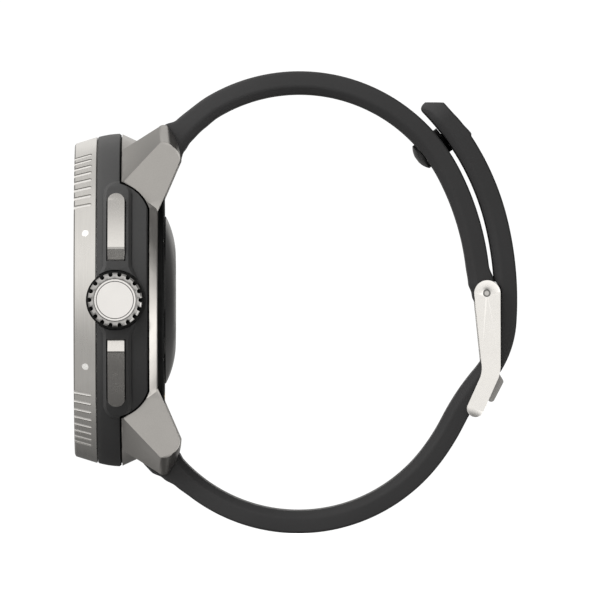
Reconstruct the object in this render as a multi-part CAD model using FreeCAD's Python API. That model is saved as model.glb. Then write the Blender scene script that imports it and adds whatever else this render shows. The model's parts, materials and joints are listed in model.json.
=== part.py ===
import FreeCAD, Part
import math
import os
from FreeCAD import Vector as V

# Dive watch, closed on its strap.  Millimetres.
# X is the dial axis and points from the dial to the wrist, +Z points to 12 o'clock and -Y to the crown
# at 3 o'clock.  The origin is the centre of the optical sensor's flat face, where the wrist touches.

# ---- driving dimensions --------------------------------------------------------------------------
X_FRONT = -14.85         # front edge of the bezel
X_BEZEL_BACK = -11.50    # back of the turning bezel
X_BODY_FRONT = -11.42    # front of the polymer middle case
X_BODY_BACK = -8.0       # polymer ring meets the steel frame
X_GUARD_BACK = -3.9      # back edge of the side guards round the crown
X_FRAME_BACK = -2.55     # back of the steel frame
X_COVER_BACK = -1.65     # back of the case cover
BEZEL_ANGLE = 17.5        # slope of the bezel's side, degrees
BEZEL_FRONT_R = 22.98
BEZEL_BORE_R = 21.56
NECK_R = 21.5            # steel neck that the bezel turns on
FACET_Y = 17.5           # half the width over the lugs
LUG_GAP = 22.4           # between the lugs of a pair
STRAP_W = 22.0           # strap width at the lugs
STRAP_W_BUCKLE = 20.0    # strap width at the buckle
STRAP_T = 3.3            # strap thickness
BAR_X, BAR_Z = -1.7, 22.0          # spring bar centres, at plus and minus BAR_Z
BAR_R = 0.9
POCKET_R = 4.1           # hollow between the lugs that the strap's end turns in
CROWN_X = -8.72
CROWN_R = 3.98
CROWN_BASE_R = 4.27
BUTTON_X = -8.61
BUTTON_W = 2.46
BUTTON_ANGLE = 25.0      # clock angle of each button from the crown, degrees
PIN_X, PIN_Z = 45.7, 1.0           # buckle pin
STUD_ANGLE = 37.8        # direction of the stud's axis above +X, degrees

# Strap centre lines: a start, a heading in degrees from +X towards +Z, then (radius, turn) arcs that
# run on from each other.  A positive radius and turn bend towards the left of travel.
SHORT_START, SHORT_HEADING = (0.45, 24.47), 45.7
SHORT_ARCS = [(-24.8, -108.4), (-39.75, -24.0)]
LONG_START, LONG_HEADING = (-0.18, -24.53), -47.8
LONG_ARCS = [(24.6, 101.0), (33.3, 9.7), (-34.8, -13.4), (13.6, 36.5), (48.2, 18.0), (37.5, 29.8)]

X_AXIS = V(1, 0, 0)
Y_AXIS = V(0, 1, 0)
Z_AXIS = V(0, 0, 1)
ORIGIN = V(0, 0, 0)
os.makedirs("parts", exist_ok=True)


# ---- general tools -------------------------------------------------------------------------------
def save(name, shape):
    """Write one sub-part as STEP and report its solids and volume."""
    shape.exportStep(f"parts/{name}.step")
    print(f"{name}: {len(shape.Solids)} solid, {shape.Volume:.2f} mm3, valid {shape.isValid()}")


def turned(*corners):
    """Solid of revolution about the dial axis from (x, r) corners."""
    points = [V(x, 0, r) for x, r in corners]
    return Part.Face(Part.makePolygon(points + points[:1])).revolve(ORIGIN, X_AXIS, 360)


def ring(x0, x1, r_in, r_out):
    """Plain ring or disc about the dial axis."""
    return turned((x0, r_in), (x0, r_out), (x1, r_out), (x1, r_in))


def edge_path(start, steps):
    """Edges in the XZ plane: a step is the next point, or a pair (point on the way, end) of an arc."""
    edges = []
    here = V(start[0], 0, start[1])
    for step in steps:
        is_arc = isinstance(step[0], tuple)
        end_xz = step[1] if is_arc else step
        end = V(end_xz[0], 0, end_xz[1])
        if is_arc:
            middle = V(step[0][0], 0, step[0][1])
            edges.append(Part.Arc(here, middle, end).toShape())
        else:
            edges.append(Part.LineSegment(here, end).toShape())
        here = end
    return edges


def plate(start, steps, y0, y1):
    """Prism between y0 and y1 from a closed outline in the XZ plane."""
    outline = Part.Face(Part.Wire(edge_path(start, steps)))
    outline.translate(V(0, y0, 0))
    return outline.extrude(V(0, y1 - y0, 0))


def box(x0, x1, y0, y1, z0, z1):
    return Part.makeBox(x1 - x0, y1 - y0, z1 - z0, V(x0, y0, z0))


def rod_y(r, y0, y1, x=0.0, z=0.0):
    """Cylinder along Y."""
    return Part.makeCylinder(r, y1 - y0, V(x, y0, z), Y_AXIS)


def tube_y(r_in, r_out, y0, y1, x=0.0, z=0.0):
    return rod_y(r_out, y0, y1, x, z).cut(rod_y(r_in, y0 - 1, y1 + 1, x, z))


def rod_x(r, x0, x1, y=0.0, z=0.0):
    """Cylinder along X."""
    return Part.makeCylinder(r, x1 - x0, V(x0, y, z), X_AXIS)


def on_clock(shape, degrees):
    """Turn a shape clockwise about the dial axis, as seen from the front."""
    copy = shape.copy()
    copy.rotate(ORIGIN, X_AXIS, degrees)
    return copy


def flipped(shape, normal):
    """Mirror image through the plane at the origin with that normal."""
    return shape.mirror(ORIGIN, normal)


def four_ways(shape):
    """The shape at both sides of the case, above and below."""
    pair = [shape, flipped(shape, Z_AXIS)]
    return pair + [flipped(s, Y_AXIS) for s in pair]


def coil_y(radius, wire_r, y0, y1, turns, x=0.0, z=0.0):
    """Helical compression spring along Y."""
    length = y1 - y0 - 2 * wire_r
    helix = Part.makeHelix(length / turns, length, radius)
    profile = Part.Wire(Part.makeCircle(wire_r, V(radius, 0, 0), Y_AXIS))
    spring = Part.Wire(helix.Edges).makePipeShell([profile], True, True)
    spring.rotate(ORIGIN, X_AXIS, -90)
    spring.translate(V(x, y0 + wire_r, z))
    return spring


def chain_edges(start, heading, arcs, offset):
    """Edges of tangent arcs, moved sideways by offset (to the left of travel)."""
    edges = []
    x, z = start
    angle = math.radians(heading)
    for radius, turn in arcs:
        sweep = math.radians(turn)
        centre_x = x - math.sin(angle) * radius
        centre_z = z + math.cos(angle) * radius
        points = []
        for share in (0.0, 0.5, 1.0):
            a = angle + sweep * share
            reach = radius - offset
            points.append(V(centre_x + math.sin(a) * reach, 0, centre_z - math.cos(a) * reach))
        edges.append(Part.Arc(*points).toShape())
        angle += sweep
        x = centre_x + math.sin(angle) * radius
        z = centre_z - math.cos(angle) * radius
    return edges


def chain_place(start, heading, arcs, distance):
    """Centre-line point and heading at a distance along tangent arcs."""
    x, z = start
    angle = math.radians(heading)
    for radius, turn in arcs:
        sweep = math.radians(turn)
        length = radius * sweep
        step = min(distance, length) / radius
        centre_x = x - math.sin(angle) * radius
        centre_z = z + math.cos(angle) * radius
        angle += step
        x = centre_x + math.sin(angle) * radius
        z = centre_z - math.cos(angle) * radius
        distance -= length
        if distance <= 0:
            break
    return x, z, math.degrees(angle)


# ---- bezel ---------------------------------------------------------------------------------------
GRIP_PITCH = 4.0         # degrees between the grip grooves
GRIPS_PER_GROUP = 8
GRIP_R = 0.34            # radius of a groove's round bottom
GRIP_LIFT = 0.04         # its centre stands this far above the cone, so a groove is 0.3 deep
GRIP_END_X = -12.25
GRIP_GROUPS = (40.0, 140.0, 220.0, 320.0)
DOT_ANGLES = (65.5, 114.5, 245.5, 294.5)
DOT_X, DOT_R, DOT_DEPTH = -13.12, 0.5, 0.35
INSERT_R0, INSERT_R1, INSERT_X = 19.35, 22.35, -14.4
PIP_R, PIP_RADIUS_AT = 0.62, 20.95


def bezel_radius(x):
    """Radius of the bezel's cone at x."""
    return BEZEL_FRONT_R + (x - X_FRONT) * math.tan(math.radians(BEZEL_ANGLE))


def grip_cutter():
    """Round-bottomed groove at 12 o'clock, along the bezel's cone and closed by a ball end."""
    length = (GRIP_END_X - X_FRONT) / math.cos(math.radians(BEZEL_ANGLE)) - GRIP_R
    groove = rod_x(GRIP_R, -0.5, length).fuse(Part.makeSphere(GRIP_R, V(length, 0, 0)))
    groove.rotate(ORIGIN, Y_AXIS, -BEZEL_ANGLE)
    groove.translate(V(X_FRONT, 0, BEZEL_FRONT_R + GRIP_LIFT))
    return groove


def dot_cylinder(depth):
    """Cylinder standing on the cone at 12 o'clock, reaching depth below the surface."""
    dot = Part.makeCylinder(DOT_R, depth + 1.0, V(0, 0, -depth))
    dot.rotate(ORIGIN, Y_AXIS, -BEZEL_ANGLE)
    dot.translate(V(DOT_X, 0, bezel_radius(DOT_X)))
    return dot


def bezel_cone():
    """Everything inside the bezel's outer surface."""
    front_edge = X_FRONT + 0.2
    back_edge = X_BEZEL_BACK - 0.14
    return turned((X_FRONT, 0), (X_FRONT, BEZEL_FRONT_R - 0.25), (front_edge, bezel_radius(front_edge)),
                  (back_edge, bezel_radius(back_edge)), (X_BEZEL_BACK, 23.88), (X_BEZEL_BACK, 0))


def make_bezel():
    body = bezel_cone()
    body = body.cut(ring(X_FRONT - 1, X_BEZEL_BACK + 1, 0, 18.95))
    body = body.cut(ring(-13.5, X_BEZEL_BACK + 1, 0, BEZEL_BORE_R))
    click_ring_room = ring(-12.1, X_BEZEL_BACK + 1, 22.0, 23.2)
    body = body.cut(click_ring_room)
    body = body.cut(ring(X_FRONT - 1, INSERT_X, INSERT_R0, INSERT_R1))
    cutters = []
    for centre in GRIP_GROUPS:
        first = centre - GRIP_PITCH * (GRIPS_PER_GROUP - 1) / 2
        for i in range(GRIPS_PER_GROUP):
            cutters.append(on_clock(grip_cutter(), first + i * GRIP_PITCH))
    for angle in DOT_ANGLES:
        cutters.append(on_clock(dot_cylinder(DOT_DEPTH), angle))
    body = body.cut(Part.makeCompound(cutters))
    save("bezel_ring", body)


def make_bezel_trim():
    insert = turned((INSERT_X, INSERT_R0), (INSERT_X, INSERT_R1), (-14.80, INSERT_R1), (-14.72, INSERT_R0))
    pip = rod_x(PIP_R, -14.78, INSERT_X, 0, PIP_RADIUS_AT)
    insert = insert.cut(rod_x(PIP_R, -15.5, INSERT_X, 0, PIP_RADIUS_AT))
    save("bezel_insert", insert)
    dots = [on_clock(dot_cylinder(DOT_DEPTH).common(bezel_cone()), a) for a in DOT_ANGLES]
    save("bezel_dots", Part.makeCompound(dots + [pip]))


# ---- case ----------------------------------------------------------------------------------------
GUARD_TOP_R = 25.1       # raised part of the side guards
GUARD_BEVEL = 0.45
SEAM = 0.16              # open seam where the steel frame meets the polymer
SEAM_DEPTH = 0.5


def frame_cone_radius(x):
    """Radius of the steel frame's tapering side."""
    return 24.54 - 0.467 * (x + 8.1)


def guard_outline(y0, y1, grow=0.0):
    """Side guard seen from the crown's side: it widens behind the ring between the lugs."""
    top, bend, foot, back = 17.1 + grow, 15.5 + grow, 13.2 + grow, X_GUARD_BACK + grow
    bend_x = -5.25 + grow / 2
    return plate((-8.6, top), [(X_BODY_BACK, top), ((bend_x, bend), (back, foot)), (back, -foot),
                               ((bend_x, -bend), (X_BODY_BACK, -top)), (-8.6, -top), (-8.6, top)], y0, y1)


def guard_ridge():
    """Raised land round the buttons, wider beside the crown, with bevelled edges."""
    front, back, flare = -10.5, -6.35, 0.8
    land = plate((front, 15.2), [((BUTTON_X, 17.4), (back, 15.2)), (back, 5.0), (back + flare, 3.3),
                                 (back + flare, -3.3), (back, -5.0), (back, -15.2),
                                 ((BUTTON_X, -17.4), (front, -15.2)), (front, -5.0), (front - flare, -3.3),
                                 (front - flare, 3.3), (front, 5.0), (front, 15.2)], -26, -15)
    ridge = land.common(ring(-12, -5, 22.0, GUARD_TOP_R))
    rim = []
    for edge in ridge.Edges:
        middle = edge.valueAt((edge.FirstParameter + edge.LastParameter) / 2)
        points = [vertex.Point for vertex in edge.Vertexes] + [middle]
        if all(abs(math.hypot(p.y, p.z) - GUARD_TOP_R) < 1e-3 for p in points):
            rim.append(edge)
    return ridge.makeChamfer(GUARD_BEVEL, rim)


def button_frame(shape, side):
    """Move a shape made at 3 o'clock to a button's place: side is 1 above the crown, -1 below it."""
    copy = shape.copy()
    if side < 0:
        copy = flipped(copy, Z_AXIS)
    copy.rotate(ORIGIN, X_AXIS, -BUTTON_ANGLE * side)
    return copy


def button_outline(y0, y1, gap=0.0):
    """Button seen from its own side: square near the crown, round at the far end."""
    half = BUTTON_W / 2 + gap
    low, high = -4.95 - gap, 5.4 + gap
    shoulder = high - half
    return plate((BUTTON_X - half, low), [(BUTTON_X + half, low), (BUTTON_X + half, shoulder),
                                          ((BUTTON_X, high), (BUTTON_X - half, shoulder)),
                                          (BUTTON_X - half, low)], y0, y1)


BUTTON_GAP = 0.18        # between a button and its pocket
POCKET_FLOOR_Y = -22.9
BUTTON_BACK_Y = -23.55
STEM_R = 0.7
STEM_Z = 0.2


def button_void():
    """Room for one button: its pocket, its stem hole and the seal's groove, made at 3 o'clock."""
    pocket = button_outline(-28, POCKET_FLOOR_Y, BUTTON_GAP)
    hole = rod_y(STEM_R + 0.05, -24, -19, BUTTON_X, STEM_Z)
    groove = rod_y(1.15, -22.4, -21.8, BUTTON_X, STEM_Z)
    return pocket.fuse([hole, groove])


def make_mid_case():
    """Save the dark polymer ring with its two side guards, and return it as it was without holes."""
    section = edge_path((X_BODY_FRONT, 21.5), [(X_BODY_FRONT, 23.9), (X_BODY_FRONT + 0.15, 24.05),
                                               ((-9.8, 24.36), (-8.25, 24.5)), (X_BODY_BACK, 24.3),
                                               (X_BODY_BACK, 20.6), (-10.4, 20.6), (-10.4, 21.5),
                                               (X_BODY_FRONT, 21.5)])
    body = Part.Face(Part.Wire(section)).revolve(ORIGIN, X_AXIS, 360)
    shell = turned((-8.6, 20.6), (-8.6, 24.48), (-6.4, 24.45), (X_GUARD_BACK - 0.3, 24.2),
                   (X_GUARD_BACK, 23.9), (X_GUARD_BACK, 20.6))
    near_guard = shell.common(guard_outline(-30, -5))
    near_ridge = guard_ridge()
    body = body.fuse([near_guard, flipped(near_guard, Y_AXIS), near_ridge, flipped(near_ridge, Y_AXIS)])
    body = body.removeSplitter()
    solid_sides = body.copy()
    crown_recess = rod_y(CROWN_BASE_R + 0.15, -30, -24.1, CROWN_X, 0)
    crown_hole = rod_y(1.5, -25, -19, CROWN_X, 0)
    port = rod_y(0.45, 22, 27, BUTTON_X, 0)
    sensor_room = rod_y(1.3, 19, 23.2, BUTTON_X, 0)
    for cutter in (crown_recess, crown_hole, port, sensor_room, button_frame(button_void(), 1),
                   button_frame(button_void(), -1)):
        body = body.cut(cutter)
    save("mid_case", body)
    return solid_sides


def lug():
    """One lug, at 12 o'clock on the crown's side: a side facet, and a broad chamfer to its inner edge."""
    underside = [(-1.71, 14.86), (-2.55, 13.0), (-7.8, 13.0)]
    facet = edge_path((-7.8, 17.1), [(-2.18, 23.04), ((-1.15, 23.0), (-0.29, 22.39)),
                                     ((0.5, 21.6), (0.74, 20.5))] + underside + [(-7.8, 17.1)])
    inner = edge_path((-7.8, 22.0), [(-2.46, 25.38), ((-1.4, 25.66), (-0.75, 24.9)),
                                     ((0.45, 22.7), (0.74, 20.5))] + underside + [(-7.8, 22.0)])
    facet_wire = Part.Wire(facet)
    facet_wire.translate(V(0, -FACET_Y, 0))
    inner_wire = Part.Wire(inner)
    inner_wire.translate(V(0, -LUG_GAP / 2, 0))
    return Part.makeLoft([facet_wire, inner_wire], True, True)


def pocket_at_12():
    """Hollow for the strap's end between the upper lugs."""
    half = LUG_GAP / 2
    hollow = rod_y(POCKET_R, -half, half, BAR_X, BAR_Z)
    return hollow.fuse(box(BAR_X, 4, -half, half, BAR_Z - POCKET_R, 30))


def bar_holes():
    """Blind holes in the lugs for the spring bar's tips."""
    return rod_y(0.5, -LUG_GAP / 2 - 1.7, LUG_GAP / 2 + 1.7, BAR_X, BAR_Z)


def seam_cutters():
    """Narrow open seam in the steel frame, along the polymer ring and round both side guards."""
    outside = turned((-9, frame_cone_radius(-9) - SEAM_DEPTH), (-9, 30), (X_GUARD_BACK + 0.5, 30),
                     (X_GUARD_BACK + 0.5, frame_cone_radius(X_GUARD_BACK + 0.5) - SEAM_DEPTH))
    near = guard_outline(-30, -5, SEAM).common(outside)
    along_ring = ring(-9, X_BODY_BACK + SEAM, frame_cone_radius(X_BODY_BACK) - SEAM_DEPTH, 30)
    return [near, flipped(near, Y_AXIS), along_ring]


def make_lug_frame(mid_case):
    """Steel frame with the four lugs, let out round the polymer case."""
    body = turned((X_BODY_BACK, 19.6), (X_BODY_BACK, frame_cone_radius(X_BODY_BACK)),
                  (X_FRAME_BACK - 0.2, frame_cone_radius(X_FRAME_BACK - 0.2)),
                  (X_FRAME_BACK, frame_cone_radius(X_FRAME_BACK) - 0.2), (X_FRAME_BACK, 15.7), (-4.2, 15.7),
                  (-4.2, 17.0), (-5.8, 17.0), (-5.8, 19.6))
    inside = rod_x(19.6, -9, -5.8).fuse(rod_x(17.0, -6, -4.2)).fuse(rod_x(15.7, -5, 5))
    lugs = [piece.cut(inside) for piece in four_ways(lug())]
    body = body.fuse(lugs)
    pocket = pocket_at_12()
    holes = bar_holes()
    cover_seat = rod_x(COVER_R + 0.05, X_FRAME_BACK, 5)
    crown_way = rod_y(1.5, -25, -15, CROWN_X, 0)
    stem_way = rod_y(STEM_R + 0.05, -24, -15, BUTTON_X, STEM_Z)
    cutters = [pocket, flipped(pocket, Z_AXIS), holes, flipped(holes, Z_AXIS), mid_case, cover_seat,
               crown_way, button_frame(stem_way, 1), button_frame(stem_way, -1)]
    for angle in SCREW_ANGLES:
        cutters.append(on_clock(rod_x(0.5, -4.0, 0, 0, SCREW_AT_R), angle))
    for cutter in cutters + seam_cutters():
        body = body.cut(cutter)
    save("lug_frame", body.removeSplitter())


# ---- crystal, display and electronics ------------------------------------------------------------
def make_front_stack():
    holder = turned((-14.5, 17.9), (-14.5, 18.85), (-13.4, 18.85), (-13.4, NECK_R), (-12.7, NECK_R),
                    (-12.7, 21.2), (-12.3, 21.2), (-12.3, NECK_R), (-10.4, NECK_R), (-10.4, 19.6),
                    (-12.8, 19.6), (-12.8, 16.9), (-13.1, 16.9), (-13.1, 17.9))
    save("crystal_holder", holder)
    save("crystal", turned((-14.55, 0), (-14.55, 17.35), (-14.3, 17.6), (-13.1, 17.6), (-13.1, 0)))
    save("crystal_gasket", ring(-14.3, -13.1, 17.6, 17.9))
    save("bezel_gasket", ring(-12.7, -12.3, 21.2, 21.54))
    save("flange_ring", turned((-13.1, 16.3), (-13.1, 16.9), (-12.8, 16.9), (-12.8, 15.9)))
    save("display_panel", ring(-12.8, -11.9, 0, 18.8))
    save("display_tray", ring(-11.9, -10.9, 0, 19.5))
    save("antenna_ring", ring(-9.5, -8.2, 20.0, 20.5).common(box(-12, 0, 1.6, 30, -30, 30)))


def click_ring():
    """Flat steel ring under the bezel with three raised leaves."""
    body = ring(-11.62, X_BODY_FRONT, 22.15, 23.05)
    for k in range(3):
        leaf = box(-11.95, -11.6, -1.4, 1.4, 22.3, 22.9)
        body = body.fuse(on_clock(leaf, 120 * k))
    return body


BATTERY_R = 15.2
BOARD_R = 18.3


def make_electronics():
    save("bezel_click_ring", click_ring())
    save("battery", turned((-7.6, 0), (-7.6, BATTERY_R - 0.4), (-7.2, BATTERY_R), (-4.4, BATTERY_R),
                           (-4.0, BATTERY_R - 0.4), (-4.0, 0)))
    encoder_notch = box(-10, -6, -20, -14.6, -2.6, 2.6)
    save("main_board", ring(-8.75, -8.15, 0, BOARD_R).cut(encoder_notch))
    chips = [box(-10.1, -8.75, -8, 2, -6, 7), box(-9.6, -8.75, 5, 11, -4, 3),
             box(-9.9, -8.75, -5, 3, 9.5, 14), box(-9.7, -8.75, -4, 5, -13, -8.5)]
    save("board_chips", Part.makeCompound(chips))
    save("vibration_motor", rod_y(1.1, -4, 4, -7.0, -17.0))
    save("depth_sensor", rod_y(1.2, 20.75, 23.1, BUTTON_X, 0))


SCREW_ANGLES = (60.0, 120.0, 240.0, 300.0)
SCREW_AT_R = 16.6
COVER_R = 17.6
WINDOW_R = 12.3
WINDOW_SEAT_R = 11.0


def make_back():
    cover = turned((-3.6, 13.2), (-3.6, 15.1), (-3.2, 15.1), (-3.2, 14.9), (-2.8, 14.9), (-2.8, 15.6),
                   (X_FRAME_BACK, 15.6), (X_FRAME_BACK, COVER_R), (X_COVER_BACK - 0.25, COVER_R),
                   (X_COVER_BACK, COVER_R - 0.25), (X_COVER_BACK, WINDOW_SEAT_R),
                   (X_FRAME_BACK, WINDOW_SEAT_R), (X_FRAME_BACK, 13.2))
    for angle in SCREW_ANGLES:
        cover = cover.cut(on_clock(rod_x(0.55, -5, 0, 0, SCREW_AT_R), angle))
        cover = cover.cut(on_clock(rod_x(0.85, -2.1, 0, 0, SCREW_AT_R), angle))
    contact = rod_x(0.7, -2.2, -1.63)
    contacts = []
    for k in range(4):
        spot = contact.copy()
        spot.translate(V(0, -3.3 + 2.2 * k, -14.3))
        contacts.append(spot)
    cover = cover.cut(Part.makeCompound(contacts))
    save("back_cover", cover)
    save("charging_contacts", Part.makeCompound(contacts))
    save("back_gasket", ring(-3.2, -2.8, 14.9, 15.68))
    screw = rod_x(0.48, -3.9, -2.1, 0, SCREW_AT_R).fuse(rod_x(0.8, -2.1, -1.72, 0, SCREW_AT_R))
    screw = screw.cut(box(-1.9, -1.5, -0.12, 0.12, SCREW_AT_R - 1, SCREW_AT_R + 1))
    save("case_screws", Part.makeCompound([on_clock(screw, a) for a in SCREW_ANGLES]))
    dome_edges = edge_path((-2.3, 0), [(-2.3, WINDOW_SEAT_R), (X_COVER_BACK, WINDOW_SEAT_R),
                                       (X_COVER_BACK, WINDOW_R), (-1.45, WINDOW_R),
                                       ((-0.42, 9.6), (0, 6.0)), (0, 0), (-2.3, 0)])
    save("sensor_window", Part.Face(Part.Wire(dome_edges)).revolve(ORIGIN, X_AXIS, 360))
    save("sensor_board", ring(-3.4, -2.9, 0, 9.5))
    lights = [box(-2.9, -2.35, -1, 1, -1, 1)]
    for k in range(6):
        lights.append(on_clock(box(-2.9, -2.4, -0.8, 0.8, 4.7, 6.3), 60 * k))
    save("sensor_leds", Part.makeCompound(lights))


# ---- crown ---------------------------------------------------------------------------------------
CROWN_TEETH = 18
CROWN_SLOT_W, CROWN_SLOT_R = 0.6, 3.42    # width, and radius of the slots' round inner ends
CROWN_BASE_Y = (-25.2, -24.7)
CROWN_KNOB_Y = (-27.9, -25.2)
CROWN_CAP_Y = (-28.3, -27.4)
CROWN_CAP_R = 3.05
CROWN_FLAT_R = 2.66
CROWN_STEM_R = 0.94


def make_crown():
    front, back = CROWN_KNOB_Y
    knob = rod_y(CROWN_R, front, back, CROWN_X)
    front_rim = [e for e in knob.Edges if e.BoundBox.YMax < front + 1e-3]
    knob = knob.makeChamfer(0.25, front_rim)
    half = CROWN_SLOT_W / 2
    slots = []
    for k in range(CROWN_TEETH):
        slot = box(-half, half, front - 0.5, back + 0.5, CROWN_SLOT_R + half, 5.0)
        slot = slot.fuse(rod_y(half, front - 0.5, back + 0.5, 0, CROWN_SLOT_R + half))
        slot.rotate(ORIGIN, Y_AXIS, 360.0 * (k + 0.5) / CROWN_TEETH)
        slot.translate(V(CROWN_X, 0, 0))
        slots.append(slot)
    knob = knob.cut(Part.makeCompound(slots))
    knob = knob.cut(rod_y(CROWN_CAP_R, front - 1, CROWN_CAP_Y[1], CROWN_X))
    knob = knob.cut(rod_y(1.6, front - 1, back + 1, CROWN_X))
    save("crown_knob", knob)
    cap = rod_y(CROWN_CAP_R - 0.02, *CROWN_CAP_Y, CROWN_X)
    cap_front = CROWN_CAP_Y[0]
    fine_groove = tube_y(CROWN_FLAT_R, CROWN_FLAT_R + 0.12, cap_front - 1, cap_front + 0.15, CROWN_X)
    save("crown_cap", cap.cut(fine_groove))
    save("crown_base", tube_y(1.6, CROWN_BASE_R, CROWN_BASE_Y[0], CROWN_BASE_Y[1], CROWN_X))
    stem = rod_y(CROWN_STEM_R, -24.7, -17.9, CROWN_X).fuse(rod_y(1.6, -27.4, -24.7, CROWN_X))
    save("crown_stem", stem)
    tube = tube_y(1.0, 1.5, -24.1, -19.8, CROWN_X).cut(rod_y(1.25, -22.8, -22.2, CROWN_X))
    save("crown_tube", tube)
    save("crown_seal", tube_y(0.96, 1.25, -22.8, -22.2, CROWN_X))
    save("crown_yoke", tube_y(1.0, 1.75, -18.9, -18.1, CROWN_X))
    save("crown_spring", coil_y(1.25, 0.18, -18.1, -16.75, 2.5, CROWN_X))
    save("crown_encoder", box(CROWN_X - 1.5, CROWN_X + 1.5, -16.75, -15.6, -2.2, 2.2))


# ---- buttons -------------------------------------------------------------------------------------
def make_button(name, side):
    """One long push button with its stem, seal, spring and switch."""
    body = button_outline(-26.5, BUTTON_BACK_Y)
    profile = Part.makePolygon([V(-20, -25.45, -3.6), V(-20, -25.45, 6), V(-20, -22, 6), V(-20, -22, -6),
                                V(-20, -23.45, -6), V(-20, -24.05, -4.95), V(-20, -25.45, -3.6)])
    body = body.common(Part.Face(profile).extrude(V(20, 0, 0)))
    stem = rod_y(STEM_R, BUTTON_BACK_Y, -20.2, BUTTON_X, STEM_Z)
    spring = coil_y(1.0, 0.13, BUTTON_BACK_Y, POCKET_FLOOR_Y, 1.5, BUTTON_X, STEM_Z)
    seal = tube_y(STEM_R + 0.02, 1.15, -22.4, -21.8, BUTTON_X, STEM_Z)
    switch = box(BUTTON_X - 0.8, BUTTON_X + 0.8, -19.55, -18.6, STEM_Z - 1.2, STEM_Z + 1.2)
    pieces = {"cap": body, "stem": stem, "spring": spring, "seal": seal, "switch": switch}
    for part, shape in pieces.items():
        save(f"{name}_button_{part}", button_frame(shape, side))


# ---- strap ---------------------------------------------------------------------------------------
def plan_trim():
    """The strap's plan shape, narrowing from the lugs to the buckle."""
    wide, slim = STRAP_W / 2, STRAP_W_BUCKLE / 2
    plan = [V(-10, -wide, -50), V(6, -wide, -50), V(34, -slim, -50), V(60, -slim, -50), V(60, slim, -50),
            V(34, slim, -50), V(6, wide, -50), V(-10, wide, -50), V(-10, -wide, -50)]
    return Part.Face(Part.makePolygon(plan)).extrude(V(0, 0, 100))


def band(start, heading, arcs):
    """Strap body along a centre line, at full width."""
    left = chain_edges(start, heading, arcs, STRAP_T / 2)
    right = chain_edges(start, heading, arcs, -STRAP_T / 2)
    near_cap = Part.LineSegment(left[0].firstVertex().Point, right[0].firstVertex().Point).toShape()
    far_cap = Part.LineSegment(left[-1].lastVertex().Point, right[-1].lastVertex().Point).toShape()
    wire = Part.Wire(Part.__sortEdges__(left + right + [near_cap, far_cap]))
    face = Part.Face(wire)
    face.translate(V(0, -STRAP_W / 2, 0))
    return face.extrude(V(0, STRAP_W, 0))


def strap_end():
    """Thick end of a strap half round its spring bar at 12 o'clock."""
    half = STRAP_W / 2
    return plate((2.35, 28.2), [((0.55, 26.95), (-1.9, 25.87)), ((-4.6, 24.6), (-5.3, 21.9)),
                                ((-4.2, 19.6), (-1.9, 18.6)), ((0.25, 19.6), (0.6, 21.6)),
                                (3.3, 24.9), (2.35, 28.2)], -half, half)


def stud_axis_shape(shape):
    """Move a shape made along +X with its base on the strap's inner face to the stud's place."""
    placed = shape.copy()
    placed.rotate(ORIGIN, Y_AXIS, -STUD_ANGLE)
    placed.translate(V(STUD_FOOT[0], 0, STUD_FOOT[1]))
    return placed


SHORT_R = abs(SHORT_ARCS[0][0])
SHORT_CENTRE = (SHORT_START[0] + SHORT_R * math.sin(math.radians(SHORT_HEADING)),
                SHORT_START[1] - SHORT_R * math.cos(math.radians(SHORT_HEADING)))
STUD_FOOT = (SHORT_CENTRE[0] + (SHORT_R - STRAP_T / 2) * math.cos(math.radians(STUD_ANGLE)),
             SHORT_CENTRE[1] + (SHORT_R - STRAP_T / 2) * math.sin(math.radians(STUD_ANGLE)))
STUD_POST_R = 0.9
KNUCKLE_R = 2.1
LAYER_GAP = 0.62


def make_short_strap():
    body = band(SHORT_START, SHORT_HEADING, SHORT_ARCS)
    knuckle = rod_y(KNUCKLE_R, -STRAP_W / 2, STRAP_W / 2, PIN_X, PIN_Z)
    neck = plate((43.1, 4.6), [(46.3, 5.0), ((46.42, 4.0), (46.75, 2.8)), (45.7, 0.0), (43.6, 1.0),
                               (43.1, 4.6)], -STRAP_W / 2, STRAP_W / 2)
    body = body.fuse([strap_end(), knuckle, neck]).common(plan_trim())
    body = body.cut(rod_y(BAR_R + 0.06, -20, 20, BAR_X, BAR_Z))
    body = body.cut(rod_y(0.58, -20, 20, PIN_X, PIN_Z))
    tongue_notch = box(PIN_X - 5, PIN_X + 5, -1.75, 1.75, PIN_Z - 4, PIN_Z + 2.35)
    body = body.cut(tongue_notch)
    body = body.cut(stud_axis_shape(rod_x(STUD_POST_R + 0.02, -2, STRAP_T + 2)))
    save("strap_short", body.removeSplitter())


def make_stud():
    """Keeper stud: a domed foot inside, a collar between the layers and a pip that fills a strap hole."""
    foot = Part.makeSphere(3.2, V(1.95, 0, 0)).common(rod_x(2.05, -1.25, -0.12))
    collar = rod_x(2.0, STRAP_T + 0.02, STRAP_T + LAYER_GAP - 0.02)
    pip = rod_x(0.95, STRAP_T, STRAP_T + LAYER_GAP + 2.1)
    pip = pip.fuse(rod_x(1.2, STRAP_T + LAYER_GAP + 1.2, STRAP_T + LAYER_GAP + 2.1))
    bore = rod_x(0.5, -1.3, STRAP_T + LAYER_GAP + 1.6)
    shell = foot.fuse([rod_x(STUD_POST_R, -0.15, STRAP_T + 0.05), collar, pip]).cut(bore)
    save("strap_stud", stud_axis_shape(shell))
    save("stud_rivet", stud_axis_shape(rod_x(0.5, -1.1, STRAP_T + LAYER_GAP + 1.5)))


TONGUE_AT = 59.0         # distance along the long strap of the hole that the tongue is in
HOLES_BETWEEN = 7        # hole steps from there to the stud's hole
HOLE_COUNT = 12
HOLE_LONG, HOLE_WIDE = 2.7, 4.4
LONG_CENTRE_LENGTH = sum(abs(r) * math.radians(abs(t)) for r, t in LONG_ARCS)


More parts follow.
